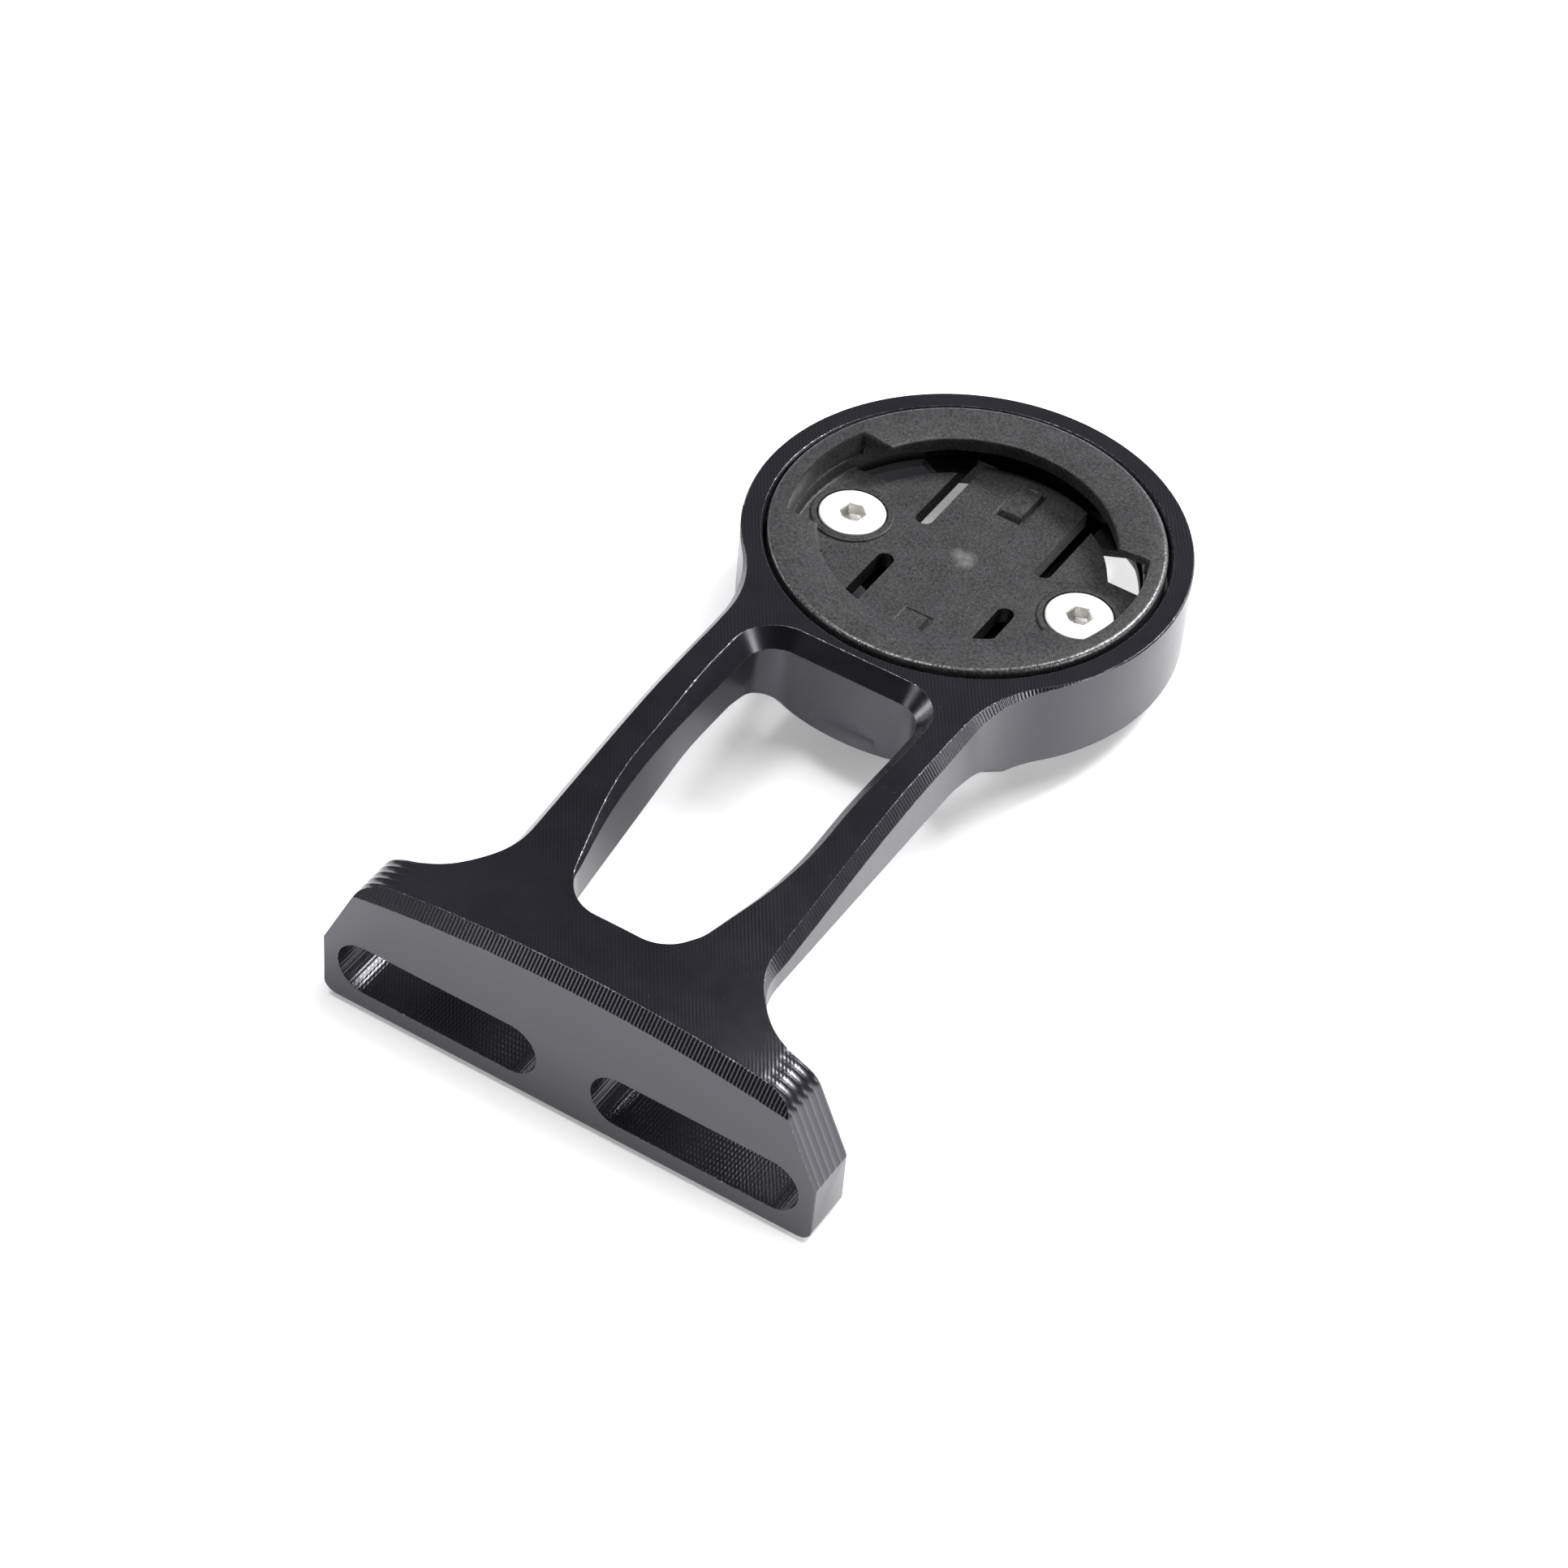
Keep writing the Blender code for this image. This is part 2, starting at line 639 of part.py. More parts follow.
def cut_web_openings(arm):
    """Four openings, each a quarter of the bore between the web's two bars."""
    start = math.asin(WEB_ACROSS / WEB_OPEN_R)
    end_angle = math.acos(WEB_ALONG / WEB_OPEN_R)
    corner = rounded(
        [
            (WEB_ALONG, WEB_ACROSS + 8, 0),
            (WEB_ALONG, WEB_ACROSS, WEB_CORNER_R),
            (WEB_ALONG + 8, WEB_ACROSS, 0),
        ],
        math.radians(18),
    )[1:-1]
    opening = arc(0, 0, WEB_OPEN_R, start, end_angle, 10) + corner
    low = -10 - HEAD_TOP
    for side_name, side in SIDES:
        for end_name, end in ENDS:
            name = f"web_opening_{side_name}_{end_name}"
            boolean(arm, head_plate(name, opening, low, WEB_TOP + 0.5, side, end))


def cut_tapped_holes(arm):
    """Tapped holes for the insert's screws."""
    profile = [(0, 1), (TAPPED_R, 1), (TAPPED_R, -25), (0, -25)]
    for side_name, side in SIDES:
        boolean(arm, turned("tapped_" + side_name, profile, 20, screw_place(side)))


def build_arm():
    arm = blank("arm", parts)
    shape_underside(arm)
    shape_top(arm)
    cut_flange_ends(arm)
    cut_face_chamfer(arm)
    cut_slots(arm)
    cut_window(arm)
    cut_edge_chamfers(arm)
    cut_recess(arm)
    cut_web_openings(arm)
    cut_tapped_holes(arm)
    settle(arm)
    smooth(arm)
    arm.data.materials.append(black_anodised())


# ---- the insert ----
def insert_body():
    """The turned body, with a lip overhanging the pocket."""
    return turned(
        "quarter_turn_insert",
        [
            (0, INSERT_FLOOR),
            (POCKET_R, INSERT_FLOOR),
            (POCKET_R, LIP_UNDER),
            (LIP_R, LIP_UNDER),
            (LIP_R, LIP_TOP - 0.15),
            (LIP_R + 0.15, LIP_TOP),
            (POCKET_R - 0.6, INSERT_TOP),
            (INSERT_R - 0.55, INSERT_TOP),
            (INSERT_R - 0.2, INSERT_TOP - 0.1),
            (INSERT_R, INSERT_TOP - 0.4),
            (INSERT_R, INSERT_UNDER + 0.3),
            (INSERT_R - 0.3, INSERT_UNDER),
            (0, INSERT_UNDER),
        ],
        96, HEAD_FACE, parts,
    )


def cut_tab_openings(insert):
    """Openings for the computer's two tabs, one on each side."""
    angle = math.asin(TAB_HALF / TAB_OUTER_R)
    opening = [(TAB_INNER, TAB_HALF), (TAB_INNER, -TAB_HALF)]
    opening += arc(0, 0, TAB_OUTER_R, -angle, angle, 8)
    for side_name, side in SIDES:
        name = "tab_opening_" + side_name
        boolean(insert, head_plate(name, opening, LIP_UNDER - 0.7, INSERT_TOP + 1, side))


def lead_in_ceiling(radius, angle):
    along = min(1, max(0, (radius * math.sin(angle) - TAB_HALF) / LEAD_IN_LONG))
    return LEAD_IN + (LIP_UNDER - 0.05 - LEAD_IN) * along


def cut_lead_ins(insert):
    """Beside each tab opening the lip's underside slopes up, to lead the tab in."""
    low = LIP_UNDER - 0.3
    for side_name, side in SIDES:
        for end_name, end in ENDS:
            rings = []
            for angle in map(math.radians, LEAD_IN_ANGLES):
                section = (
                    (LEAD_IN_INNER, low),
                    (LEAD_IN_OUTER, low),
                    (LEAD_IN_OUTER, lead_in_ceiling(LEAD_IN_OUTER, angle)),
                    (LEAD_IN_INNER, lead_in_ceiling(LEAD_IN_INNER, angle)),
                )
                rings.append([
                    (
                        side * radius * math.cos(angle),
                        HEAD_Y + end * radius * math.sin(angle),
                        HEAD_TOP + height,
                    )
                    for radius, height in section
                ])
            boolean(insert, loft(f"lead_in_{side_name}_{end_name}", rings))


def cut_ledges(insert):
    """Under each lip the floor steps down to a ledge, between its round edge, the wall
    and the screws' lugs, and the ledge is open right through beside each lug."""
    outer, inner = POCKET_R + 0.15, FLOOR_R
    outer_angle, inner_angle = math.asin(LUG_HALF / outer), math.asin(LUG_HALF / inner)
    ledge = arc(0, 0, outer, outer_angle, math.pi - outer_angle, 30)
    ledge += arc(0, 0, inner, math.pi - inner_angle, inner_angle, 24)

    outer, inner = POCKET_R - THROUGH_MARGIN, FLOOR_R + THROUGH_MARGIN
    edge = LUG_HALF + THROUGH_MARGIN
    through = arc(0, 0, outer, math.asin(edge / outer), THROUGH_OUTER_END, 7)
    through += arc(0, 0, inner, THROUGH_INNER_END, math.asin(edge / inner), 6)

    for end_name, end in ENDS:
        step = head_plate("under_lip_" + end_name, ledge, LEDGE_TOP, INSERT_FLOOR + 0.3, end=end)
        boolean(insert, step)
        for side_name, side in SIDES:
            name = f"through_{side_name}_{end_name}"
            low, high = INSERT_UNDER - 1, LEDGE_TOP + 0.2
            boolean(insert, head_plate(name, through, low, high, side, end))


def add_screw_rims(insert):
    """A low raised rim round each screw."""
    top, low = INSERT_FLOOR + 0.22, INSERT_FLOOR - 0.6
    profile = [(0, top), (SCREW_HEAD_R + 0.62, top), (SCREW_HEAD_R + 0.82, low), (0, low)]
    for side_name, side in SIDES:
        boolean(insert, turned("screw_rim_" + side_name, profile, 32, screw_place(side)), "UNION")


def cut_reliefs(insert):
    """An opening in the floor for each tongue, with a slot reaching in past its root on
    either side."""
    tip = TONGUE_TIP_R + 0.35
    opening = rounded(
        [
            (RELIEF_OUT, RELIEF_FROM, RELIEF_CORNER_R),
            (RELIEF_OUT, tip, 0),
            (-RELIEF_OUT, tip, 0),
            (-RELIEF_OUT, RELIEF_FROM, RELIEF_CORNER_R),
            (-RELIEF_IN, RELIEF_FROM, RELIEF_CORNER_R),
            (-RELIEF_IN, RELIEF_STEP_Y, 0),
            (RELIEF_IN, RELIEF_STEP_Y, 0),
            (RELIEF_IN, RELIEF_FROM, RELIEF_CORNER_R),
        ],
        math.radians(30),
    )
    low, high = INSERT_UNDER - 1, INSERT_FLOOR + 0.02
    for end_name, end in ENDS:
        boolean(insert, head_plate("relief_" + end_name, opening, low, high, end=end))


def cut_countersinks(insert):
    head_r, shank_r = SCREW_HEAD_R + SCREW_CLEARANCE, SCREW_R + SCREW_CLEARANCE
    profile = [
        (0, 1),
        (head_r, 1),
        (head_r, SCREW_HEAD_TOP - SCREW_RIM),
        (shank_r, SCREW_HEAD_TOP - SCREW_CONE_END),
        (shank_r, -8),
        (0, -8),
    ]
    for side_name, side in SIDES:
        boolean(insert, turned("countersink_" + side_name, profile, 32, screw_place(side)))


def build_insert():
    insert = insert_body()
    cut_tab_openings(insert)
    cut_lead_ins(insert)
    cut_ledges(insert)
    add_screw_rims(insert)
    cut_reliefs(insert)
    cut_countersinks(insert)
    settle(insert)
    smooth(insert)
    insert.data.materials.append(charcoal_plastic())


# ---- the springy tongues ----
def build_tongue(name, end):
    """A tongue with a ridge along its middle; its origin is at its root."""
    angle = math.acos(RELIEF_IN / TONGUE_TIP_R)
    shape = [(-RELIEF_IN, TONGUE_ROOT), (RELIEF_IN, TONGUE_ROOT)]
    shape += arc(0, 0, TONGUE_TIP_R, angle, math.pi - angle, 10)
    outline = [(x, HEAD_Y + end * y) for x, y in shape]
    tongue = plate(name, outline, HEAD_TOP + INSERT_UNDER, HEAD_TOP + INSERT_FLOOR, parts)
    rings = []
    for inset, height in (
        (0, INSERT_FLOOR - 0.5),
        (0, INSERT_FLOOR),
        (RIDGE_SLANT, INSERT_FLOOR + RIDGE_HIGH),
    ):
        half, start, stop = RIDGE_HALF - inset, RIDGE_FROM + inset, RIDGE_TO - inset
        corners = ((-half, start), (half, start), (half, stop), (-half, stop))
        rings.append([(x, HEAD_Y + end * y, HEAD_TOP + height) for x, y in corners])
    boolean(tongue, loft("ridge_" + name, rings), "UNION")
    settle(tongue)
    set_origin(tongue, 0, HEAD_Y + end * TONGUE_ROOT, HEAD_TOP + (INSERT_UNDER + INSERT_FLOOR) / 2)
    tongue.data.materials.append(charcoal_plastic("_" + name, roughness=0.5))


# ---- the screws ----
def socket_cutter(name, location):
    """A hexagonal prism centred on the screw's top face."""
    radius = SOCKET_ACROSS / math.sqrt(3) * MM
    work = bmesh.new()
    bmesh.ops.create_cone(
        work, cap_ends=True, segments=6,
        radius1=radius, radius2=radius, depth=SOCKET_DEEP * 2 * MM,
    )
    mesh = bpy.data.meshes.new(name)
    work.to_mesh(mesh)
    work.free()
    socket = link(name, mesh, cutters)
    socket.location = location
    socket.rotation_euler = (0, 0, SOCKET_TURN)
    return socket


def build_screw(name, side):
    screw = turned(
        name,
        [
            (0, 0),
            (SCREW_HEAD_R - 0.1, 0),
            (SCREW_HEAD_R, -0.1),
            (SCREW_HEAD_R, -SCREW_RIM),
            (SCREW_R, -SCREW_CONE_END),
            (SCREW_R, -SCREW_LONG + SCREW_TIP_CHAMFER),
            (SCREW_R - SCREW_TIP_CHAMFER, -SCREW_LONG),
            (0, -SCREW_LONG),
        ],
        32, screw_place(side, SCREW_HEAD_TOP), parts,
    )
    boolean(screw, socket_cutter("socket_" + name, screw.location))
    settle(screw)
    smooth(screw)
    screw.data.materials.append(stainless("_" + name))


build_arm()
build_insert()
for end_name, end in ENDS:
    build_tongue("detent_tongue_" + end_name, end)
for side_name, side in SIDES:
    build_screw("insert_screw_" + side_name, side)
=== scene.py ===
"""Bolt-on bar mount of a cycling computer: fine meshes, materials, studio.

The frame is in metres, +Z square to the head's top face, origin in the middle of the
flange's bolt face. The flange stands across X at the near end, its bolt face towards -Y;
two arms run along +Y to the round head, which holds the plastic insert, its two springy
tongues and two screws. Shapes are drawn in millimetres and scaled once when each piece
is finished.
"""

import math

import bmesh
import bpy
import numpy as np
from mathutils import Matrix, Vector


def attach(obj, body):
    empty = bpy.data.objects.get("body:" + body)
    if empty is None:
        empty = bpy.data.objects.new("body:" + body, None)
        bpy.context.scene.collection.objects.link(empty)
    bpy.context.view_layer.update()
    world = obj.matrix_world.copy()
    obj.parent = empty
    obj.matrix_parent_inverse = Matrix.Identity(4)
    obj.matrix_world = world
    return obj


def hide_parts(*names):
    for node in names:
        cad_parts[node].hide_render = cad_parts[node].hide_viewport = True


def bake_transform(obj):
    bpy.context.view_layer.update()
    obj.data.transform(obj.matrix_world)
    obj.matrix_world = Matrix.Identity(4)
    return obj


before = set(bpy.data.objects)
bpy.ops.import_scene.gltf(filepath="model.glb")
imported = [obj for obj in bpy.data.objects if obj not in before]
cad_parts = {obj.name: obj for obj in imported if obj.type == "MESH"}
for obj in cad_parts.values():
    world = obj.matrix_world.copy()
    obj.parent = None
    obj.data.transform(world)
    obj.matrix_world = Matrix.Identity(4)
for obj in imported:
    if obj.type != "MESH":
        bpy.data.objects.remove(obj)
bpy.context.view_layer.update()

scene = bpy.context.scene
MM = 0.001

# ---- sizes, millimetres; heights called "from the top" are from HEAD_TOP, negative down ----
HEAD_Y = 61.5
HEAD_TOP = 13.5
HEAD_R = 19.7
HEAD_DEPTH = 8.3
HEAD_BASE = HEAD_TOP - HEAD_DEPTH
BOSS_FOOT_R = 20.5  # head's flared base, at its foot
FLARE_R = 26.6  # and at the arms' underside

RECESS_R = 17.75
WEB_TOP = -6.2  # recess floor, from the top
WEB_ALONG = 6.0  # half sizes of the cross between the four openings
WEB_ACROSS = 4.4
WEB_CORNER_R = 2.2
WEB_OPEN_R = 17.1
BOSS_TOP = -5.1  # screw bosses, from the top
BOSS_R = 4.4
TAPPED_R = 1.62

ARM_HALF = 12.5
ARM_UNDER = HEAD_TOP - 5.3
NECK_R = 11.5  # arms to head
FOOT_R = 6.6  # arms to flange
UNDER_FILLET = 1.6

WINDOW_HALF = 8.1
WINDOW_HEAD_Y = 41.55
WINDOW_FOOT_Y = 7.05
WINDOW_TAPER_Y = 19.5  # where the side walls turn, at the top and at the underside
WINDOW_LOW_TAPER_Y = 30.0
WINDOW_FOOT_HALF = 5.25
WINDOW_LOW_FOOT_HALF = 5.45
WINDOW_BEND_PIECES = 24
WINDOW_HEAD_PIECES = 26
WINDOW_SIDE_PIECES = 60
WINDOW_FOOT_PIECES = 22
WINDOW_CHAMFER = 1.3
WINDOW_CHAMFER_GROWTH = (0.35, 0.75, 0.45)  # depth at the foot, then two gains towards the head
WINDOW_CHAMFER_DEEP = sum(WINDOW_CHAMFER_GROWTH)

EDGE_CHAMFER = 0.85
EDGE_CHAMFER_DEEP = 1.1
DROP = 2.35  # the top surface falls by this from head to flange
DROP_FROM_Y = 34.8
DROP_TO_Y = 2.8
CROWN = 0.0045  # fall per square millimetre away from x = 0
CROWN_LONG = 26.6  # the crown reaches its full height over this length

FLANGE_HALF = 23.6
FLANGE_THICK = 4.7
FLANGE_BOTTOM = -4.35
FLANGE_SHOULDER = 1.75
FLANGE_CORNER_X = 20.05
FLANGE_CORNER_Z = 9.45
FLANGE_TOP_R = 3.4
FLANGE_FOOT_R = 1.3
FACE_CHAMFER = 1.15
SLOT_IN = 2.6
SLOT_OUT = 22.15
SLOT_HIGH = 5.3
SLOT_MIDDLE = (SLOT_IN + SLOT_OUT) / 2

# cutter marks
RIB_PITCH = 0.34
CHAMFER_RIB = 0.014
SLOT_RIB = 0.009
PASS_PITCH = 0.80
PASS_DEEP = 0.055

# insert, heights from the top
INSERT_R = 17.4
INSERT_TOP = 0.4
INSERT_UNDER = -4.8
INSERT_FLOOR = -3.2
LIP_R = 13.05
LIP_TOP = 0.25
LIP_UNDER = -1.2
POCKET_R = 15.55
TAB_HALF = 6.25
FLOOR_R = 12.45
LUG_HALF = 5.58
LEDGE_TOP = -4.0
LEAD_IN = -0.2
LEAD_IN_LONG = 2.6
# U-shaped relief round each tongue
RELIEF_WIDE = 1.6
RELIEF_IN = 5.24
RELIEF_OUT = RELIEF_IN + RELIEF_WIDE
RELIEF_FROM = 2.6
RELIEF_CORNER_R = 0.79
TONGUE_ROOT = RELIEF_FROM + RELIEF_WIDE  # tongue places along Y are from HEAD_Y
TONGUE_TIP_R = 13.6
RIDGE_HALF = 1.15
RIDGE_FROM = 7.8
RIDGE_TO = 12.1
RIDGE_HIGH = 0.45

SCREW_X = 11.45
SCREW_HEAD_TOP = -2.9  # from the top
SCREW_HEAD_R = 3.0
SCREW_HEAD_EDGE = 0.3  # the countersunk cone starts this far below the head's face
SCREW_R = 1.5
SCREW_LONG = 5.0
SCREW_GAP = 0.16
SOCKET_ACROSS = 2.0
SOCKET_DEEP = 1.1
SOCKET_TURN = math.radians(17)


# =============================================================== mesh helpers
bench = bpy.data.collections.new("bench")
scene.collection.children.link(bench)


def solid(name, verts, faces):
    mesh = bpy.data.meshes.new(name)
    mesh.from_pydata([tuple(map(float, v)) for v in verts], [], faces)
    work = bmesh.new()
    work.from_mesh(mesh)
    bmesh.ops.recalc_face_normals(work, faces=work.faces)
    work.to_mesh(mesh)
    work.free()
    obj = bpy.data.objects.new(name, mesh)
    bench.objects.link(obj)
    return obj


def eased(value, start=0.0, length=1.0):
    """Smooth step from 0 at start to 1 after length."""
    t = min(1.0, max(0.0, (value - start) / length))
    return t * t * (3 - 2 * t)


def arc(centre_x, centre_y, radius, start, end, pieces):
    return [
        (
            centre_x + radius * math.cos(start + (end - start) * k / pieces),
            centre_y + radius * math.sin(start + (end - start) * k / pieces),
        )
        for k in range(pieces + 1)
    ]


def rounded(corners, step=math.radians(4)):
    """Closed outline through corners (x, y, radius[, pieces]), each rounded by a tangent arc."""
    points = []
    for i, (x, y, radius, *fixed) in enumerate(corners):
        here = Vector((x, y))
        back = (Vector(corners[i - 1][:2]) - here).normalized()
        ahead = (Vector(corners[(i + 1) % len(corners)][:2]) - here).normalized()
        turn = math.pi - back.angle(ahead)
        if radius <= 0 or turn < 1e-4:
            points.append((x, y))
            continue
        reach = radius * math.tan(turn / 2)
        centre = here + (back + ahead).normalized() * (radius / math.cos(turn / 2))
        first = here + back * reach - centre
        last = here + ahead * reach - centre
        sense = 1 if first.x * last.y - first.y * last.x > 0 else -1
        pieces = fixed[0] if fixed else max(2, math.ceil(turn / step))
        start = math.atan2(first.y, first.x)
        for k in range(pieces + 1):
            angle = start + sense * turn * k / pieces
            x_now = centre.x + radius * math.cos(angle)
            points.append((x_now, centre.y + radius * math.sin(angle)))
    return points


def band(one, two):
    """Faces between two closed rows of vertex indices; repeated indices are merged."""
    faces = []
    for k in range(len(one)):
        l = (k + 1) % len(one)
        loop = tuple(dict.fromkeys((one[k], one[l], two[l], two[k])))
        if len(loop) > 2:
            faces.append(loop)
    return faces


def loft(name, rings):
    """Closed solid through rings with equal point counts, capped at both ends."""
    size = len(rings[0])
    rows = [tuple(range(j * size, (j + 1) * size)) for j in range(len(rings))]
    faces = [face for one, two in zip(rows, rows[1:]) for face in band(one, two)]
    faces += [rows[0], rows[-1]]
    return solid(name, [p for ring in rings for p in ring], faces)


def plate(name, outline, low, high):
    return loft(name, [[(x, y, z) for x, y in outline] for z in (low, high)])


def upright_plate(name, outline, low, high):
    """Plate with its outline in X and Z and its thickness along Y."""
    return loft(name, [[(x, y, z) for x, z in outline] for y in (low, high)])


def head_plate(name, outline, low, high):
    """Plate about the head's centre, heights from the top."""
    moved = [(x, HEAD_Y + y) for x, y in outline]
    return plate(name, moved, HEAD_TOP + low, HEAD_TOP + high)


def slab(name, first, second):
    """Closed solid between two grids of points, each a list of equal rows."""
    rows, size = len(first), len(first[0])
    count = rows * size
    faces = []
    for j in range(rows - 1):
        for i in range(size - 1):
            a = j * size + i
            b = a + size
            faces.append((a, a + 1, b + 1, b))
            faces.append((count + a, count + b, count + b + 1, count + a + 1))
    for i in range(size - 1):
        b = count - size + i
        faces.append((i, count + i, count + i + 1, i + 1))
        faces.append((b, b + 1, count + b + 1, count + b))
    for j in range(rows - 1):
        a, b = j * size, (j + 1) * size
        faces.append((a, b, count + b, count + a))
        a, b = a + size - 1, b + size - 1
        faces.append((a, count + a, count + b, b))
    return solid(name, [p for grid in (first, second) for row in grid for p in row], faces)


def revolved(name, rows, x, z):
    """Solid round an upright axis at (x, HEAD_Y). A row holds (radius, height) for each step.

    The rows run from axis to axis, or else form a closed loop.
    """
    verts, index = [], []
    for row in rows:
        start = len(verts)
        if row[0][0] == 0:
            index.append([start] * len(row))
            verts.append((x, HEAD_Y, z + row[0][1]))
            continue
        for k, (radius, height) in enumerate(row):
            angle = math.tau * k / len(row)
            across, along = radius * math.cos(angle), radius * math.sin(angle)
            verts.append((x + across, HEAD_Y + along, z + height))
        index.append([start + k for k in range(len(row))])
    if rows[0][0][0] != 0:
        index.append(index[0])
    return solid(name, verts, [f for one, two in zip(index, index[1:]) for f in band(one, two)])


def turned(name, profile, steps, x=0.0, z=0.0):
    return revolved(name, [[point] * steps for point in profile], x, z)


def combine(obj, *others, operation="DIFFERENCE"):
    """Applies a boolean with each of the others, then removes them."""
    for other in others:
        made = obj.modifiers.new(other.name, "BOOLEAN")
        made.operation = operation
        made.object = other
        made.solver = "MANIFOLD"
    bpy.context.view_layer.update()
    evaluated = obj.evaluated_get(bpy.context.evaluated_depsgraph_get())
    mesh = bpy.data.meshes.new_from_object(evaluated)
    obj.modifiers.clear()
    obj.data = mesh
    for other in others:
        bpy.data.objects.remove(other, do_unlink=True)


def finish_piece(obj, material, degrees, replaces, body="mount", weld=4e-4):
    """Welds, scales to metres, shades, paints and puts the piece on its body."""
    work = bmesh.new()
    work.from_mesh(obj.data)
    bmesh.ops.remove_doubles(work, verts=work.verts, dist=weld)
    bmesh.ops.dissolve_degenerate(work, edges=work.edges, dist=weld)
    bmesh.ops.transform(work, matrix=Matrix.Scale(MM, 4), verts=work.verts)
    for face in work.faces:
        face.smooth = True
    work.to_mesh(obj.data)
    work.free()
    obj.data.set_sharp_from_angle(angle=math.radians(degrees))
    obj.data.materials.clear()
    obj.data.materials.append(material)
    bench.objects.unlink(obj)
    scene.collection.objects.link(obj)
    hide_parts(replaces)
    if body:
        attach(obj, body)


# ================================================================== materials
class Nodes:
    """A node tree being built. Values may be numbers, colours or output sockets."""

    def __init__(self, tree):
        self.tree = tree
        tree.nodes.clear()

    def add(self, kind, inputs=None, **settings):
        made = self.tree.nodes.new("ShaderNode" + kind)
        for key, value in settings.items():
            setattr(made, key, value)
        for key, value in (inputs or {}).items():
            if isinstance(value, bpy.types.NodeSocket):
                self.tree.links.new(value, made.inputs[key])
            else:
                made.inputs[key].default_value = value
        return made

    def split(self, vector):
        return self.add("SeparateXYZ", {0: vector}).outputs

    def maths(self, operation, *values, clamp=False):
        inputs = dict(enumerate(values))
        return self.add("Math", inputs, operation=operation, use_clamp=clamp).outputs[0]

    def plus(self, one, two):
        return self.maths("ADD", one, two)

    def times(self, one, two):
        return self.maths("MULTIPLY", one, two)

    def scaled(self, value, gain, offset, clamp=False):
        return self.maths("MULTIPLY_ADD", value, gain, offset, clamp=clamp)

    def length(self, one, two):
        return self.maths("SQRT", self.plus(self.times(one, one), self.times(two, two)))

    def noise(self, scale, detail=3.0, rough=0.55):
        inputs = {"Scale": scale, "Detail": detail, "Roughness": rough, "Vector": self.coords}
        return self.add("TexNoise", inputs).outputs["Fac"]

    def smooth_range(self, value, start, end, low, high):
        inputs = {
            "Value": value, "From Min": start, "From Max": end, "To Min": low, "To Max": high,
        }
        return self.add("MapRange", inputs, interpolation_type="SMOOTHSTEP").outputs[0]

    def ramp(self, value, *stops):
        """Colour ramp through stops (position, colour)."""
        made = self.add("ValToRGB", {0: value})
        elements = made.color_ramp.elements
        elements[0].position = stops[0][0]
        elements[1].position = stops[-1][0]
        for position, _ in stops[1:-1]:
            elements.new(position)
        for element, (_, colour) in zip(elements, stops):
            element.color = colour
        return made.outputs[0]

    def mix_colours(self, share, one, two):
        return self.add("Mix", {0: share, 6: one, 7: two}, data_type="RGBA").outputs[2]

    def mix_shaders(self, share, one, two):
        return self.add("MixShader", {0: share, 1: one, 2: two}).outputs[0]

    def bevelled(self, radius):
        return self.add("Bevel", {"Radius": radius}, samples=4).outputs[0]

    def bump(self, height, strength, distance, **normal):
        inputs = {"Strength": strength, "Distance": distance, "Height": height, **normal}
        return self.add("Bump", inputs).outputs[0]

    def principled(self, inputs):
        return self.add("BsdfPrincipled", inputs).outputs[0]


def new_material(name):
    """A material and its nodes, with object coordinates, in metres, at hand."""
    made = bpy.data.materials.new(name)
    made.use_nodes = True
    nodes = Nodes(made.node_tree)
    nodes.coords = nodes.add("TexCoord").outputs["Object"]
    nodes.place = nodes.split(nodes.coords)
    return made, nodes


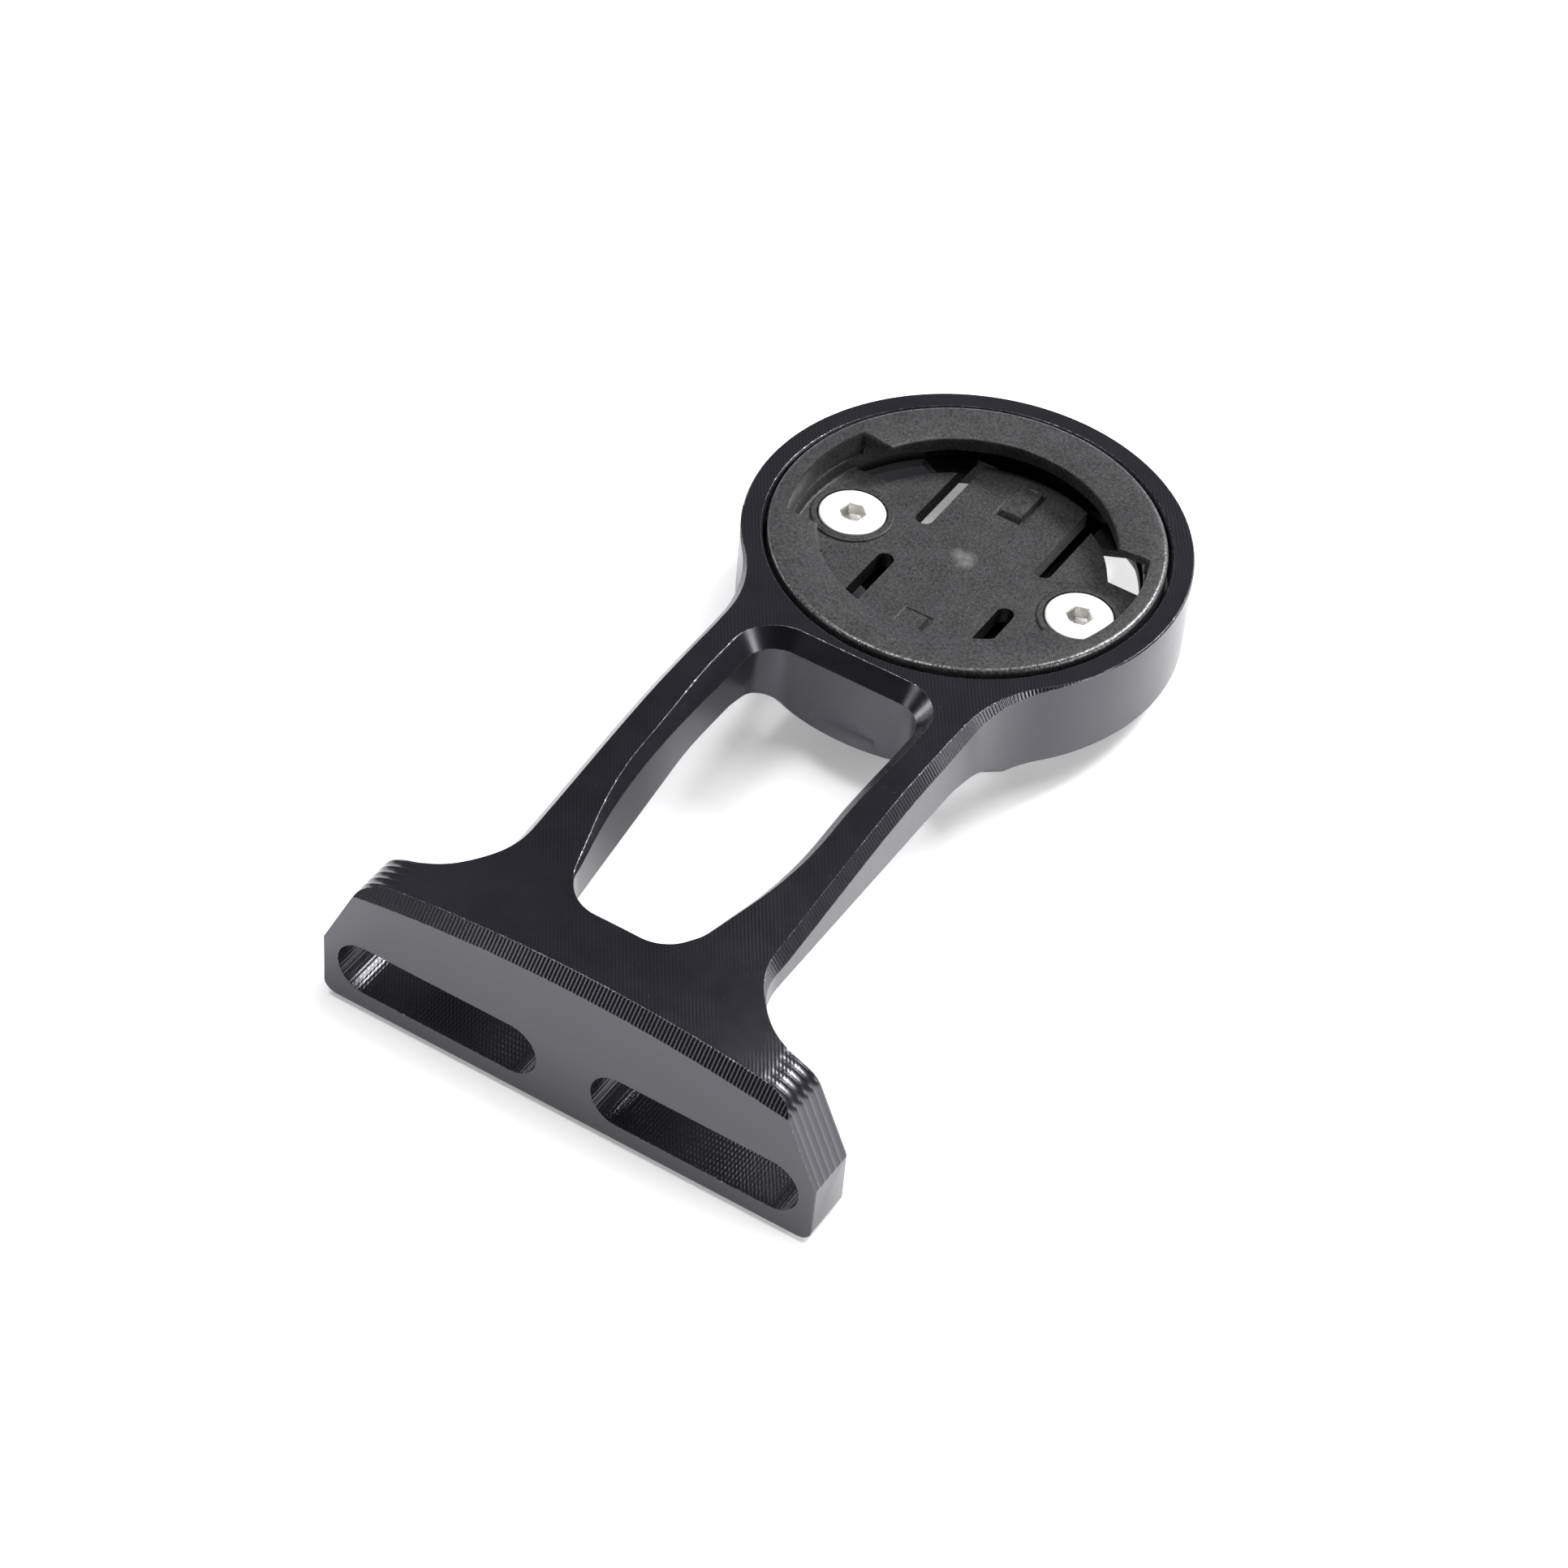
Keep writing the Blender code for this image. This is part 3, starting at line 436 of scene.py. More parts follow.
def anodised():
    made, nodes = new_material("black_anodised_aluminium")
    place = nodes.place
    normal = nodes.add("NewGeometry").outputs["True Normal"]
    up = nodes.split(normal)["Z"]

    # cutter marks of the top pass: fine slanting lines, broken up by noise
    slant = math.radians(34)
    line_pitch = 0.00030
    along = nodes.plus(
        nodes.times(place["X"], math.cos(slant)),
        nodes.times(place["Y"], math.sin(slant)),
    )
    wander = nodes.times(nodes.noise(scale=180.0, detail=2.0), 5.0)
    lines = nodes.maths("SINE", nodes.scaled(along, gain=math.tau / line_pitch, offset=wander))
    patches = nodes.noise(scale=95.0, detail=2.0)
    lines = nodes.times(lines, nodes.scaled(patches, gain=3.0, offset=-1.0, clamp=True))
    on_top = nodes.scaled(up, gain=8.0, offset=-7.0, clamp=True)
    lines = nodes.times(lines, on_top)

    # bead-blasted micro texture under the dye, everywhere
    texture_share, line_share = 0.55, 0.95
    texture = nodes.noise(scale=9000.0, detail=2.0, rough=0.6)
    height = nodes.plus(nodes.times(texture, texture_share), nodes.times(lines, line_share))
    edge = nodes.bevelled(radius=0.00009)
    bumped = nodes.bump(height, strength=0.26, distance=0.00002, Normal=edge)

    # dye: near black, a touch of violet, slightly uneven
    dye = nodes.ramp(
        nodes.noise(scale=260.0, detail=4.0),
        (0.3, (0.0050, 0.0048, 0.0062, 1)),
        (0.75, (0.0085, 0.0080, 0.0105, 1)),
    )
    # specks where the dye is thin
    thin_colour, thin_share = (0.42, 0.42, 0.45, 1), 0.12
    speck = nodes.noise(scale=5200.0, detail=1.0)
    speck = nodes.scaled(speck, gain=30.0, offset=-23.4, clamp=True)
    colour = nodes.mix_colours(nodes.times(speck, thin_share), dye, thin_colour)
    # sharp edges: the oxide is thin and nicked there, and the metal glints through
    bare_colour = (0.34, 0.34, 0.37, 1)
    dot = nodes.add("VectorMath", {0: edge, 1: normal}, operation="DOT_PRODUCT")
    sharp = nodes.scaled(dot.outputs["Value"], gain=-24.0, offset=23.6, clamp=True)
    nick = nodes.noise(scale=2600.0, detail=2.0)
    worn = nodes.times(sharp, nodes.scaled(nick, gain=4.0, offset=-1.75, clamp=True))
    shader = nodes.principled({
        "Base Color": nodes.mix_colours(worn, colour, bare_colour),
        "Metallic": worn,
        "IOR": 1.66,
        "Specular Tint": (0.93, 0.92, 1.0, 1),
        "Roughness": nodes.scaled(nodes.noise(scale=700.0), gain=0.08, offset=0.20),
        "Specular IOR Level": nodes.scaled(lines, gain=0.24, offset=0.50),
        "Normal": bumped,
    })
    nodes.add("OutputMaterial", {0: shader})
    return made


def plastic():
    made, nodes = new_material("charcoal_moulded_plastic")
    place = nodes.place

    grain_share, coarse_share = 0.7, 0.5
    grain = nodes.noise(scale=5200.0, detail=2.0, rough=0.65)
    coarse = nodes.noise(scale=1500.0, rough=0.6)
    height = nodes.plus(nodes.times(grain, grain_share), nodes.times(coarse, coarse_share))
    bumped = nodes.bump(height, strength=0.9, distance=0.00006)

    # three soft pale marks, overlapping, near the floor's centre: X, Y in metres
    mark_places = ((-0.00100, 0.06240), (-0.00030, 0.06262), (-0.00012, 0.06190))
    marks_below = 0.0106
    mark_colour, mark_share = (0.14, 0.14, 0.135, 1), 0.8
    marks = None
    for mark_x, mark_y in mark_places:
        reach = nodes.length(
            nodes.maths("SUBTRACT", place["X"], mark_x),
            nodes.maths("SUBTRACT", place["Y"], mark_y),
        )
        wobble = nodes.noise(scale=900.0, detail=2.0)
        wobble = nodes.scaled(wobble, gain=0.0009, offset=-0.00045)
        mark = nodes.scaled(nodes.plus(reach, wobble), gain=-1100.0, offset=1.10, clamp=True)
        marks = mark if marks is None else nodes.maths("MAXIMUM", marks, mark)
    marks = nodes.times(marks, nodes.maths("LESS_THAN", place["Z"], marks_below))

    # glass fibres give fine specks, and the melt's flow leaves broad, faint clouds
    cloud_share = 0.9
    cloud = nodes.scaled(nodes.noise(scale=420.0, rough=0.6), gain=0.26, offset=-0.13)
    fibres = nodes.noise(scale=3400.0, rough=0.75)
    tone = nodes.ramp(
        nodes.plus(fibres, nodes.times(cloud, cloud_share)),
        (0.36, (0.010, 0.010, 0.011, 1)),
        (0.70, (0.052, 0.052, 0.054, 1)),
    )
    colour = nodes.mix_colours(nodes.times(marks, mark_share), tone, mark_colour)
    # painted shade: everything below the floor's face, such as the openings' walls, is coloured
    # near black as if in shadow
    painted_shade_colour, painted_shade_share = (0.003, 0.003, 0.003, 1), 0.85
    painted_shade_below = (HEAD_TOP + INSERT_FLOOR - 0.09) * MM
    below = nodes.maths("LESS_THAN", place["Z"], painted_shade_below)
    colour = nodes.mix_colours(nodes.times(below, painted_shade_share), colour, painted_shade_colour)

    # the rim's outer rounding is rubbed smoother and catches the light in specks
    rim_from, rim_gain = INSERT_R - 0.50, 5.0
    radius = nodes.length(place["X"], nodes.maths("SUBTRACT", place["Y"], HEAD_Y * MM))
    rim = nodes.scaled(radius, gain=rim_gain / MM, offset=-rim_from * rim_gain, clamp=True)
    glint = nodes.noise(scale=4200.0, detail=2.0, rough=0.6)
    glint = nodes.times(rim, nodes.scaled(glint, gain=5.0, offset=-1.8, clamp=True))
    rough = nodes.scaled(coarse, gain=0.22, offset=0.36)
    shader = nodes.principled({
        "Base Color": colour,
        "Roughness": nodes.scaled(rim, gain=-0.14, offset=rough),
        "IOR": 1.5,
        "Specular IOR Level": nodes.scaled(glint, gain=1.6, offset=0.50),
        "Normal": bumped,
    })
    nodes.add("OutputMaterial", {0: shader})
    return made


def stainless():
    made, nodes = new_material("satin_stainless_steel")
    texture = nodes.noise(scale=7000.0, detail=2.0, rough=0.6)
    cloud = nodes.noise(scale=700.0)
    edge = nodes.bevelled(radius=0.00006)
    # more metallic with depth, down the socket
    depth = nodes.scaled(nodes.place["Z"], gain=-3000.0, offset=31.75, clamp=True)
    shader = nodes.principled({
        "Base Color": nodes.ramp(
            cloud, (0.0, (0.74, 0.73, 0.70, 1)), (1.0, (0.92, 0.91, 0.88, 1))
        ),
        "Metallic": nodes.scaled(depth, gain=0.62, offset=0.36),
        "Roughness": nodes.scaled(cloud, gain=0.12, offset=0.34),
        "Normal": nodes.bump(texture, strength=0.3, distance=0.00002, Normal=edge),
    })
    nodes.add("OutputMaterial", {0: shader})
    return made


ANODISED = anodised()
PLASTIC = plastic()
STAINLESS = stainless()


# ======================================================================== arm
def top_height(x, y):
    """The milled top surface: level on the head, falling and crowned towards the flange."""
    fall = eased(DROP_FROM_Y - y, length=DROP_FROM_Y - DROP_TO_Y)
    crown = eased(DROP_FROM_Y - y, length=CROWN_LONG)
    return HEAD_TOP - DROP * fall - CROWN * crown * x * x


def half_outline():
    """The +X half in plan, from the flange's bolt face round to the head's far point."""
    soft = 0.12
    out = arc(FLANGE_HALF - soft, soft, soft, -math.pi / 2, 0, 4)
    out += arc(FLANGE_HALF - soft, FLANGE_THICK - soft, soft, 0, math.pi / 2, 4)
    foot_x, foot_y = ARM_HALF + FOOT_R, FLANGE_THICK + FOOT_R
    out += arc(foot_x, foot_y, FOOT_R, -math.pi / 2, -math.pi, 30)
    neck_x = ARM_HALF + NECK_R
    neck_y = HEAD_Y - math.sqrt((HEAD_R + NECK_R) ** 2 - neck_x**2)
    toward = math.atan2(HEAD_Y - neck_y, -neck_x)
    out += arc(neck_x, neck_y, NECK_R, math.pi, toward, 24)
    out += arc(0, HEAD_Y, HEAD_R, toward - math.pi, math.pi / 2, 100)[1:]
    return out


def under_cutter():
    """All that lies behind the flange and below the arms, but for the head's flared base."""
    low, far_y, wide = -8.0, 90.0, 40
    fillet = UNDER_FILLET
    profile = [(FLANGE_THICK, low), (FLANGE_THICK, ARM_UNDER - fillet)]
    for k in range(1, 11):
        angle = math.pi / 2 * k / 10
        y = FLANGE_THICK + fillet - fillet * math.cos(angle)
        profile.append((y, ARM_UNDER - fillet + fillet * math.sin(angle)))
    profile += [(far_y, ARM_UNDER), (far_y, low)]
    stations = (-wide, -SLOT_MIDDLE, SLOT_MIDDLE, wide)
    below = loft("below", [[(x, y, z) for y, z in profile] for x in stations])

    over, linear_share, pieces = 3.0, 0.35, 14
    flare = [(0, ARM_UNDER + over), (FLARE_R + over, ARM_UNDER + over)]
    for k in range(pieces + 1):
        t = k / pieces
        share = linear_share * t + (1 - linear_share) * (1 - math.sqrt(1 - t * t))
        height = ARM_UNDER + 0.02 - (ARM_UNDER - HEAD_BASE) * share
        flare.append((FLARE_R + (BOSS_FOOT_R - FLARE_R) * t, height))
    flare += [(BOSS_FOOT_R - 0.02, HEAD_BASE), (0, HEAD_BASE)]
    combine(below, turned("keep", flare, 200))
    return below


def top_cutter():
    """All that lies above the milled surface."""
    high = 30.0
    columns = np.linspace(-26, 26, 53)
    rows = np.concatenate([np.linspace(-3, DROP_FROM_Y, 41), [60.0, 92.0]])
    surface = [[(x, y, top_height(x, y)) for x in columns] for y in rows]
    return slab("above", surface, [[(x, y, high) for x in columns] for y in rows])


def end_cutter(side):
    """Shapes a flange end: ball-cutter passes that step through the thickness."""
    start_back, start_up = 9.2, 1.94  # first point, from the corner
    past, beyond_end, above = 0.6, 4, 6
    fall = (FLANGE_CORNER_Z - FLANGE_SHOULDER) / (FLANGE_HALF - FLANGE_CORNER_X)
    corners = [
        (FLANGE_CORNER_X - start_back, FLANGE_CORNER_Z + start_up, 0),
        (FLANGE_CORNER_X, FLANGE_CORNER_Z, FLANGE_TOP_R),
        (FLANGE_HALF + past, FLANGE_SHOULDER - past * fall, 0),
        (FLANGE_HALF - 12, FLANGE_BOTTOM - 20, 0),  # only closes the outline; dropped below
    ]
    line = [Vector(p) for p in rounded(corners, math.radians(2.5))[:-1]]
    top = [line[0].lerp(line[1], k / 40) for k in range(40)]
    slope = [line[-2].lerp(line[-1], k / 12) for k in range(1, 12)]
    line = top + line[1:-1] + slope + [line[-1]]
    inward = []  # normals towards the solid
    for i in range(len(line)):
        behind, ahead = line[max(0, i - 1)], line[min(len(line) - 1, i + 1)]
        along = (ahead - behind).normalized()
        inward.append(Vector((along.y, -along.x)))

    rings = []
    y = -0.7
    while y < FLANGE_THICK + 1.4:
        across_pass = 2 * (((y + 0.30) / PASS_PITCH) % 1.0) - 1
        deep = PASS_DEEP * (1 - across_pass * across_pass)
        ring = []
        for point, normal in zip(line, inward):
            # the passes run out on the top, and the top dips a little before the corner
            beyond = point.x - FLANGE_CORNER_X
            fade = eased(beyond, -5.4, 2.4)
            dip = 0.17 * eased(beyond, -4.8, 2.6) * (1 - eased(beyond, -0.9, 1.6))
            cut = point + normal * (deep * fade + dip)
            ring.append((side * cut.x, y, cut.y))
        ring.append((side * (FLANGE_HALF + beyond_end), y, line[-1].y))
        ring.append((side * (FLANGE_HALF + beyond_end), y, HEAD_TOP + above))
        ring.append((side * (FLANGE_CORNER_X - start_back), y, HEAD_TOP + above))
        rings.append(ring)
        y += PASS_PITCH / 10
    return loft("end_cut", rings)


def end_foot(side):
    """Rounds a flange end's lower corner."""
    radius = FLANGE_FOOT_R
    centre_x, centre_z = FLANGE_HALF - radius, FLANGE_BOTTOM + radius
    corner = [(FLANGE_HALF + 1, FLANGE_BOTTOM - 1), (FLANGE_HALF + 1, centre_z)]
    corner += arc(centre_x, centre_z, radius, 0, -math.pi / 2, 16)
    corner += [(centre_x, FLANGE_BOTTOM - 1)]
    return upright_plate("end_foot", [(side * x, z) for x, z in corner], -1, FLANGE_THICK + 1)


def face_chamfer():
    """Chamfer along the bolt face's arched top edge, with the cutter's ribs across it."""
    half_long, over = 24.0, 0.6
    step_share = 8
    rings = []
    for k in range(int(2 * half_long / (RIB_PITCH / step_share)) + 1):
        x = -half_long + k * RIB_PITCH / step_share
        z = top_height(x, 0)
        strength = 0.45 + 0.55 * eased(abs(x + 5), length=16)
        rib = CHAMFER_RIB * strength * math.cos(math.tau * x / RIB_PITCH)
        rings.append([
            (x, -over + rib, z - FACE_CHAMFER - over - rib),
            (x, FACE_CHAMFER + over + rib, z + over - rib),
            (x, -over + rib, z + over - rib),
        ])
    return loft("face_chamfer", rings)


def bolt_slot(side):
    """Slot with round ends, its wall ribbed by the end mill."""
    radius = SLOT_HIGH / 2
    outer_x, inner_x = SLOT_OUT - radius, SLOT_IN + radius
    straight = outer_x - inner_x
    half_turn = math.pi * radius
    perimeter = 2 * straight + math.tau * radius
    steps = int(perimeter / (RIB_PITCH / 7))
    ribs = round(perimeter / RIB_PITCH)
    line = []
    for k in range(steps):
        gone = perimeter * k / steps
        reach = radius + SLOT_RIB * math.cos(math.tau * ribs * k / steps)
        if gone < half_turn:
            angle = -math.pi / 2 + gone / radius
            x, z = outer_x + reach * math.cos(angle), reach * math.sin(angle)
        elif gone < half_turn + straight:
            x, z = outer_x - (gone - half_turn), reach
        elif gone < 2 * half_turn + straight:
            angle = math.pi / 2 + (gone - half_turn - straight) / radius
            x, z = inner_x + reach * math.cos(angle), reach * math.sin(angle)
        else:
            x, z = inner_x + (gone - 2 * half_turn - straight), -reach
        line.append((side * x, z))
    return upright_plate("slot", line, -1, FLANGE_THICK + 1)


# The window between the arms. Its side walls lean in: they turn at WINDOW_TAPER_Y at the
# top and at WINDOW_LOW_TAPER_Y at the underside. The head's lower half stands clear of it.
# A chamfer runs round its top edge, and thins out towards the flange.
def window_outline(low):
    """Outline of the window, counter-clockwise: low is 0 under the chamfer and 1 at the
    underside. The same point has nearly the same Y in both, so the walls aren't twisted."""
    foot = WINDOW_FOOT_HALF + (WINDOW_LOW_FOOT_HALF - WINDOW_FOOT_HALF) * low
    taper = WINDOW_TAPER_Y + (WINDOW_LOW_TAPER_Y - WINDOW_TAPER_Y) * low
    shape = rounded([
        (-WINDOW_HALF, taper, 45.0, WINDOW_BEND_PIECES),
        (-foot, WINDOW_FOOT_Y, 4.0, WINDOW_FOOT_PIECES),
        (0, WINDOW_FOOT_Y, 0),
        (0, WINDOW_HEAD_Y, 0),
        (-WINDOW_HALF, WINDOW_HEAD_Y, 2.9, WINDOW_HEAD_PIECES),
    ])
    foot_start = WINDOW_BEND_PIECES + 1
    bend = shape[:foot_start]
    foot_arc = shape[foot_start : foot_start + WINDOW_FOOT_PIECES + 1]
    head_arc = shape[-WINDOW_HEAD_PIECES - 1 :]
    side = [foot_arc[0]] + bend[::-1] + [head_arc[-1]]
    ys = np.linspace(head_arc[-1][1], foot_arc[0][1], WINDOW_SIDE_PIECES + 1)[1:-1]
    xs = np.interp(ys, [p[1] for p in side], [p[0] for p in side])
    left = head_arc + [(float(x), float(y)) for x, y in zip(xs, ys)] + foot_arc
    return left + [(-x, y) for x, y in reversed(left)]


def window_chamfer_deep(y):
    foot, middle_gain, head_gain = WINDOW_CHAMFER_GROWTH
    deep = foot + middle_gain * eased(y, 9, 14) + head_gain * eased(y, 26, 10)
    shown = eased(y, 8.3, 2.7)
    return deep * shown - 0.1 * (1 - shown)


def window_cutter():
    wall_top, wall_foot = window_outline(0), window_outline(1)
    low_ring, high_ring = [], []
    for k, (x, y) in enumerate(wall_top):
        ahead, behind = wall_top[(k + 1) % len(wall_top)], wall_top[k - 1]
        along = Vector((ahead[0] - behind[0], ahead[1] - behind[1])).normalized()
        deep = window_chamfer_deep(y)
        rise = 2 * deep + 0.5
        wide = rise * WINDOW_CHAMFER / WINDOW_CHAMFER_DEEP
        z = top_height(x, y) - deep
        low_ring.append((x, y, z))
        high_ring.append((x + along.y * wide, y - along.x * wide, z + rise))
    cutter = loft("window_cut", [
        [(x, y, 20.0) for x, y, z in high_ring],
        high_ring,
        low_ring,
        [(x, y, ARM_UNDER) for x, y in wall_foot],
        [(x, y, -10.0) for x, y in wall_foot],
    ])
    # radius and height of the head's lower half, left standing
    nose = [
        (0, ARM_UNDER - 0.1),
        (19.93, ARM_UNDER - 0.1),
        (20.03, ARM_UNDER - 0.9),
        (20.2, ARM_UNDER - 1.7),
        (BOSS_FOOT_R, HEAD_BASE + 0.3),
        (BOSS_FOOT_R, HEAD_BASE - 2),
        (0, HEAD_BASE - 2),
    ]
    combine(cutter, turned("nose", nose, 200))
    return cutter


def outer_edge(outline):
    """Close points along an arm's outer edge, and the length travelled to each."""
    path = [p for p in outline if p[1] > FLANGE_THICK + 2.0]
    dense = [path[0]]
    for (x, y), (next_x, next_y) in zip(path, path[1:]):
        pieces = max(1, math.ceil(math.dist((x, y), (next_x, next_y)) / (RIB_PITCH / 7)))
        for k in range(1, pieces + 1):
            dense.append((x + (next_x - x) * k / pieces, y + (next_y - y) * k / pieces))
    end_y = HEAD_Y + HEAD_R * math.sin(math.radians(-24))
    run = [p for p in dense if p[1] < end_y]
    travelled = [0.0]
    for here, after in zip(run, run[1:]):
        travelled.append(travelled[-1] + math.dist(here, after))
    return run, travelled


def edge_chamfer(side, run, travelled):
    """Chamfer on an arm's outer edge, ribbed by the cutter, run out on the head and at the foot."""
    foot_run_out, head_run_out, least = 6.0, 17.0, 0.03
    rings = []
    for i, ((x, y), gone) in enumerate(zip(run, travelled)):
        before, after = run[max(0, i - 6)], run[min(len(run) - 1, i + 6)]
        along = Vector((after[0] - before[0], after[1] - before[1])).normalized()
        out = Vector((along.y, -along.x))
        if out.x < 0:
            out = -out
        size = eased(gone, length=foot_run_out)
        size = size * eased(travelled[-1] - gone, length=head_run_out) * (1 - least) + least
        wide, deep = EDGE_CHAMFER * size, EDGE_CHAMFER_DEEP * size
        z = top_height(x - out.x * wide, y - out.y * wide)
        rise = deep / wide
        # the ribs are stronger round the neck
        strength = 0.35 + 1.25 * eased(y, 33, 4)
        rib = -CHAMFER_RIB * strength * size * (1 + math.cos(math.tau * gone / RIB_PITCH))
        ring = []
        for outward, height in (
            (-wide - 0.4, z + 0.4 * rise),
            (0.5, z - deep - 0.5 * rise),
            (0.5, z + 0.4 * rise),
        ):
            reach = outward - rib * 0.7
            ring.append((side * (x + out.x * reach), y + out.y * reach, height - rib * 0.7))
        rings.append(ring)
    return loft("edge_chamfer", rings)


def head_edge_break():
    """A slight break on the head's top outer edge, away from the arms."""
    start_y = HEAD_Y - 7.9
    section = [
        (HEAD_R - 0.13, HEAD_TOP + 0.02),
        (HEAD_R + 0.6, HEAD_TOP + 0.02),
        (HEAD_R + 0.6, HEAD_TOP - 0.75),
        (HEAD_R, HEAD_TOP - 0.13),
    ]
    ring = turned("ring_break", section, 240)
    far_half = plate("far_half", [(-40, start_y), (40, start_y), (40, 100), (-40, 100)], 0, 30)
    combine(ring, far_half, operation="INTERSECT")
    return ring


def recess_cutter():
    """Recess with a broken edge; the screw bosses are left standing in it."""
    edge, fillet = 0.16, 0.25
    profile = [
        (0, 1),
        (RECESS_R + edge, 1),
        (RECESS_R + edge, 0.0),
        (RECESS_R, -edge),
        (RECESS_R, WEB_TOP + fillet),
        (RECESS_R - fillet, WEB_TOP),
        (0, WEB_TOP),
    ]
    recess = turned("recess", profile, 240, z=HEAD_TOP)
    outer_x = SCREW_X + 8.5
    boss = [(outer_x, -BOSS_R), (outer_x, BOSS_R)]
    boss += arc(SCREW_X, 0, BOSS_R, math.pi / 2, 1.5 * math.pi, 40)
    keeps = [
        head_plate("boss", [(side * x, y) for x, y in boss], WEB_TOP - 1, BOSS_TOP)
        for side in (1, -1)
    ]
    combine(recess, *keeps)
    return recess


def web_cutters():
    """The four openings through the recess floor, and the two tapped holes."""
    reach = 8
    rim_start = math.asin(WEB_ACROSS / WEB_OPEN_R)
    rim_end = math.acos(WEB_ALONG / WEB_OPEN_R)
    corner = [
        (WEB_ALONG, WEB_ACROSS + reach, 0),
        (WEB_ALONG, WEB_ACROSS, WEB_CORNER_R),
        (WEB_ALONG + reach, WEB_ACROSS, 0),
    ]
    shape = arc(0, 0, WEB_OPEN_R, rim_start, rim_end, 30)
    shape += rounded(corner, math.radians(6))[1:-1]
    cutters = []
    for side in (1, -1):
        for end in (1, -1):
            placed = [(side * x, end * y) for x, y in shape]
            cutters.append(head_plate("opening", placed, -23.5, WEB_TOP + 0.5))
    hole = [
        (0, 1),
        (TAPPED_R, 1),
        (TAPPED_R, -HEAD_DEPTH + 0.25),
        (1.9, -HEAD_DEPTH - 0.05),
        (1.9, -25),
        (0, -25),
    ]
    cutters += [turned("tapped", hole, 48, side * SCREW_X, HEAD_TOP) for side in (1, -1)]
    return cutters


def build_arm():
    right = half_outline()
    # the two points on the bolt face line up with the edges across the underside cutter
    outline = right + [(-x, y) for x, y in reversed(right) if x > 1e-6]
    outline += [(-SLOT_MIDDLE, 0), (SLOT_MIDDLE, 0)]
    arm = plate("mount_arm", outline, FLANGE_BOTTOM, 20.0)
    combine(arm, under_cutter())
    combine(arm, top_cutter())
    combine(arm, end_cutter(1), end_cutter(-1), end_foot(1), end_foot(-1))
    combine(arm, face_chamfer())
    for side in (1, -1):
        combine(arm, bolt_slot(side))
    combine(arm, window_cutter())
    run, travelled = outer_edge(right)
    for side in (1, -1):
        combine(arm, edge_chamfer(side, run, travelled))
    combine(arm, head_edge_break())
    combine(arm, recess_cutter())
    combine(arm, *web_cutters())
    finish_piece(arm, ANODISED, 22, replaces="arm")


# ===================================================================== insert
def fillet_arc(x, z, radius, start, end, pieces):
    """Profile points along an arc, angles in degrees, from the radial direction."""
    return arc(x, z, radius, math.radians(start), math.radians(end), pieces)


def insert_shell():
    pocket, under, over, rim, foot = 0.25, 0.2, 0.22, 0.42, 0.3  # fillets and foot chamfer
    profile = [(0, INSERT_FLOOR), (POCKET_R - pocket, INSERT_FLOOR)]
    profile += fillet_arc(POCKET_R - pocket, INSERT_FLOOR + pocket, pocket, -90, 0, 4)
    profile += [(POCKET_R, LIP_UNDER), (LIP_R + under, LIP_UNDER)]
    profile += fillet_arc(LIP_R + under, LIP_UNDER + under, under, -90, -180, 4)
    profile += fillet_arc(LIP_R + over, LIP_TOP - over, over, 180, 92, 6)
    profile += [(LIP_R + 1.2, LIP_TOP + 0.055), (POCKET_R - 0.6, INSERT_TOP - 0.01)]
    profile += fillet_arc(INSERT_R - rim, INSERT_TOP - rim, rim, 90, 0, 8)
    profile += [
        (INSERT_R, INSERT_UNDER + foot),
        (INSERT_R - foot, INSERT_UNDER),
        (0, INSERT_UNDER),
    ]
    return turned("insert_shell", profile, 240, z=HEAD_TOP)


def tab_opening(side):
    """Opening in the lip, its edges rounded over at the top face."""
    rim, inner_x = POCKET_R + 0.2, LIP_R - 3.2
    # height from the top, growth of the opening
    stations = (
        (LIP_UNDER - 0.7, 0.0),
        (LIP_TOP - 0.22, 0.0),
        (LIP_TOP - 0.06, 0.05),
        (INSERT_TOP, 0.2),
        (INSERT_TOP + 1, 0.6),
    )
    rings = []
    for z, grow in stations:
        reach, half = rim + grow * 0.4, TAB_HALF + grow
        angle = math.asin(half / reach)
        shape = [(inner_x, half), (inner_x, -half)] + arc(0, 0, reach, -angle, angle, 24)
        rings.append([(side * x, HEAD_Y + y, HEAD_TOP + z) for x, y in shape])
    return loft("tab", rings)


def lead_in(side, end):
    """Beside each tab opening the lip's underside slopes up, to lead the tab in."""
    inner, outer = 12.6, 15.4
    low = LIP_UNDER - 0.3
    rings = []
    for degrees in range(20, 46):
        angle = math.radians(degrees)
        ring = [(inner, low), (outer, low)]
        for radius in (outer, inner):
            along = min(1, max(0, (radius * math.sin(angle) - TAB_HALF) / LEAD_IN_LONG))
            ring.append((radius, LEAD_IN + (LIP_UNDER - 0.05 - LEAD_IN) * along))
        rings.append([
            (
                side * radius * math.cos(angle),
                HEAD_Y + end * radius * math.sin(angle),
                HEAD_TOP + height,
            )
            for radius, height in ring
        ])
    return loft("lead_in", rings)


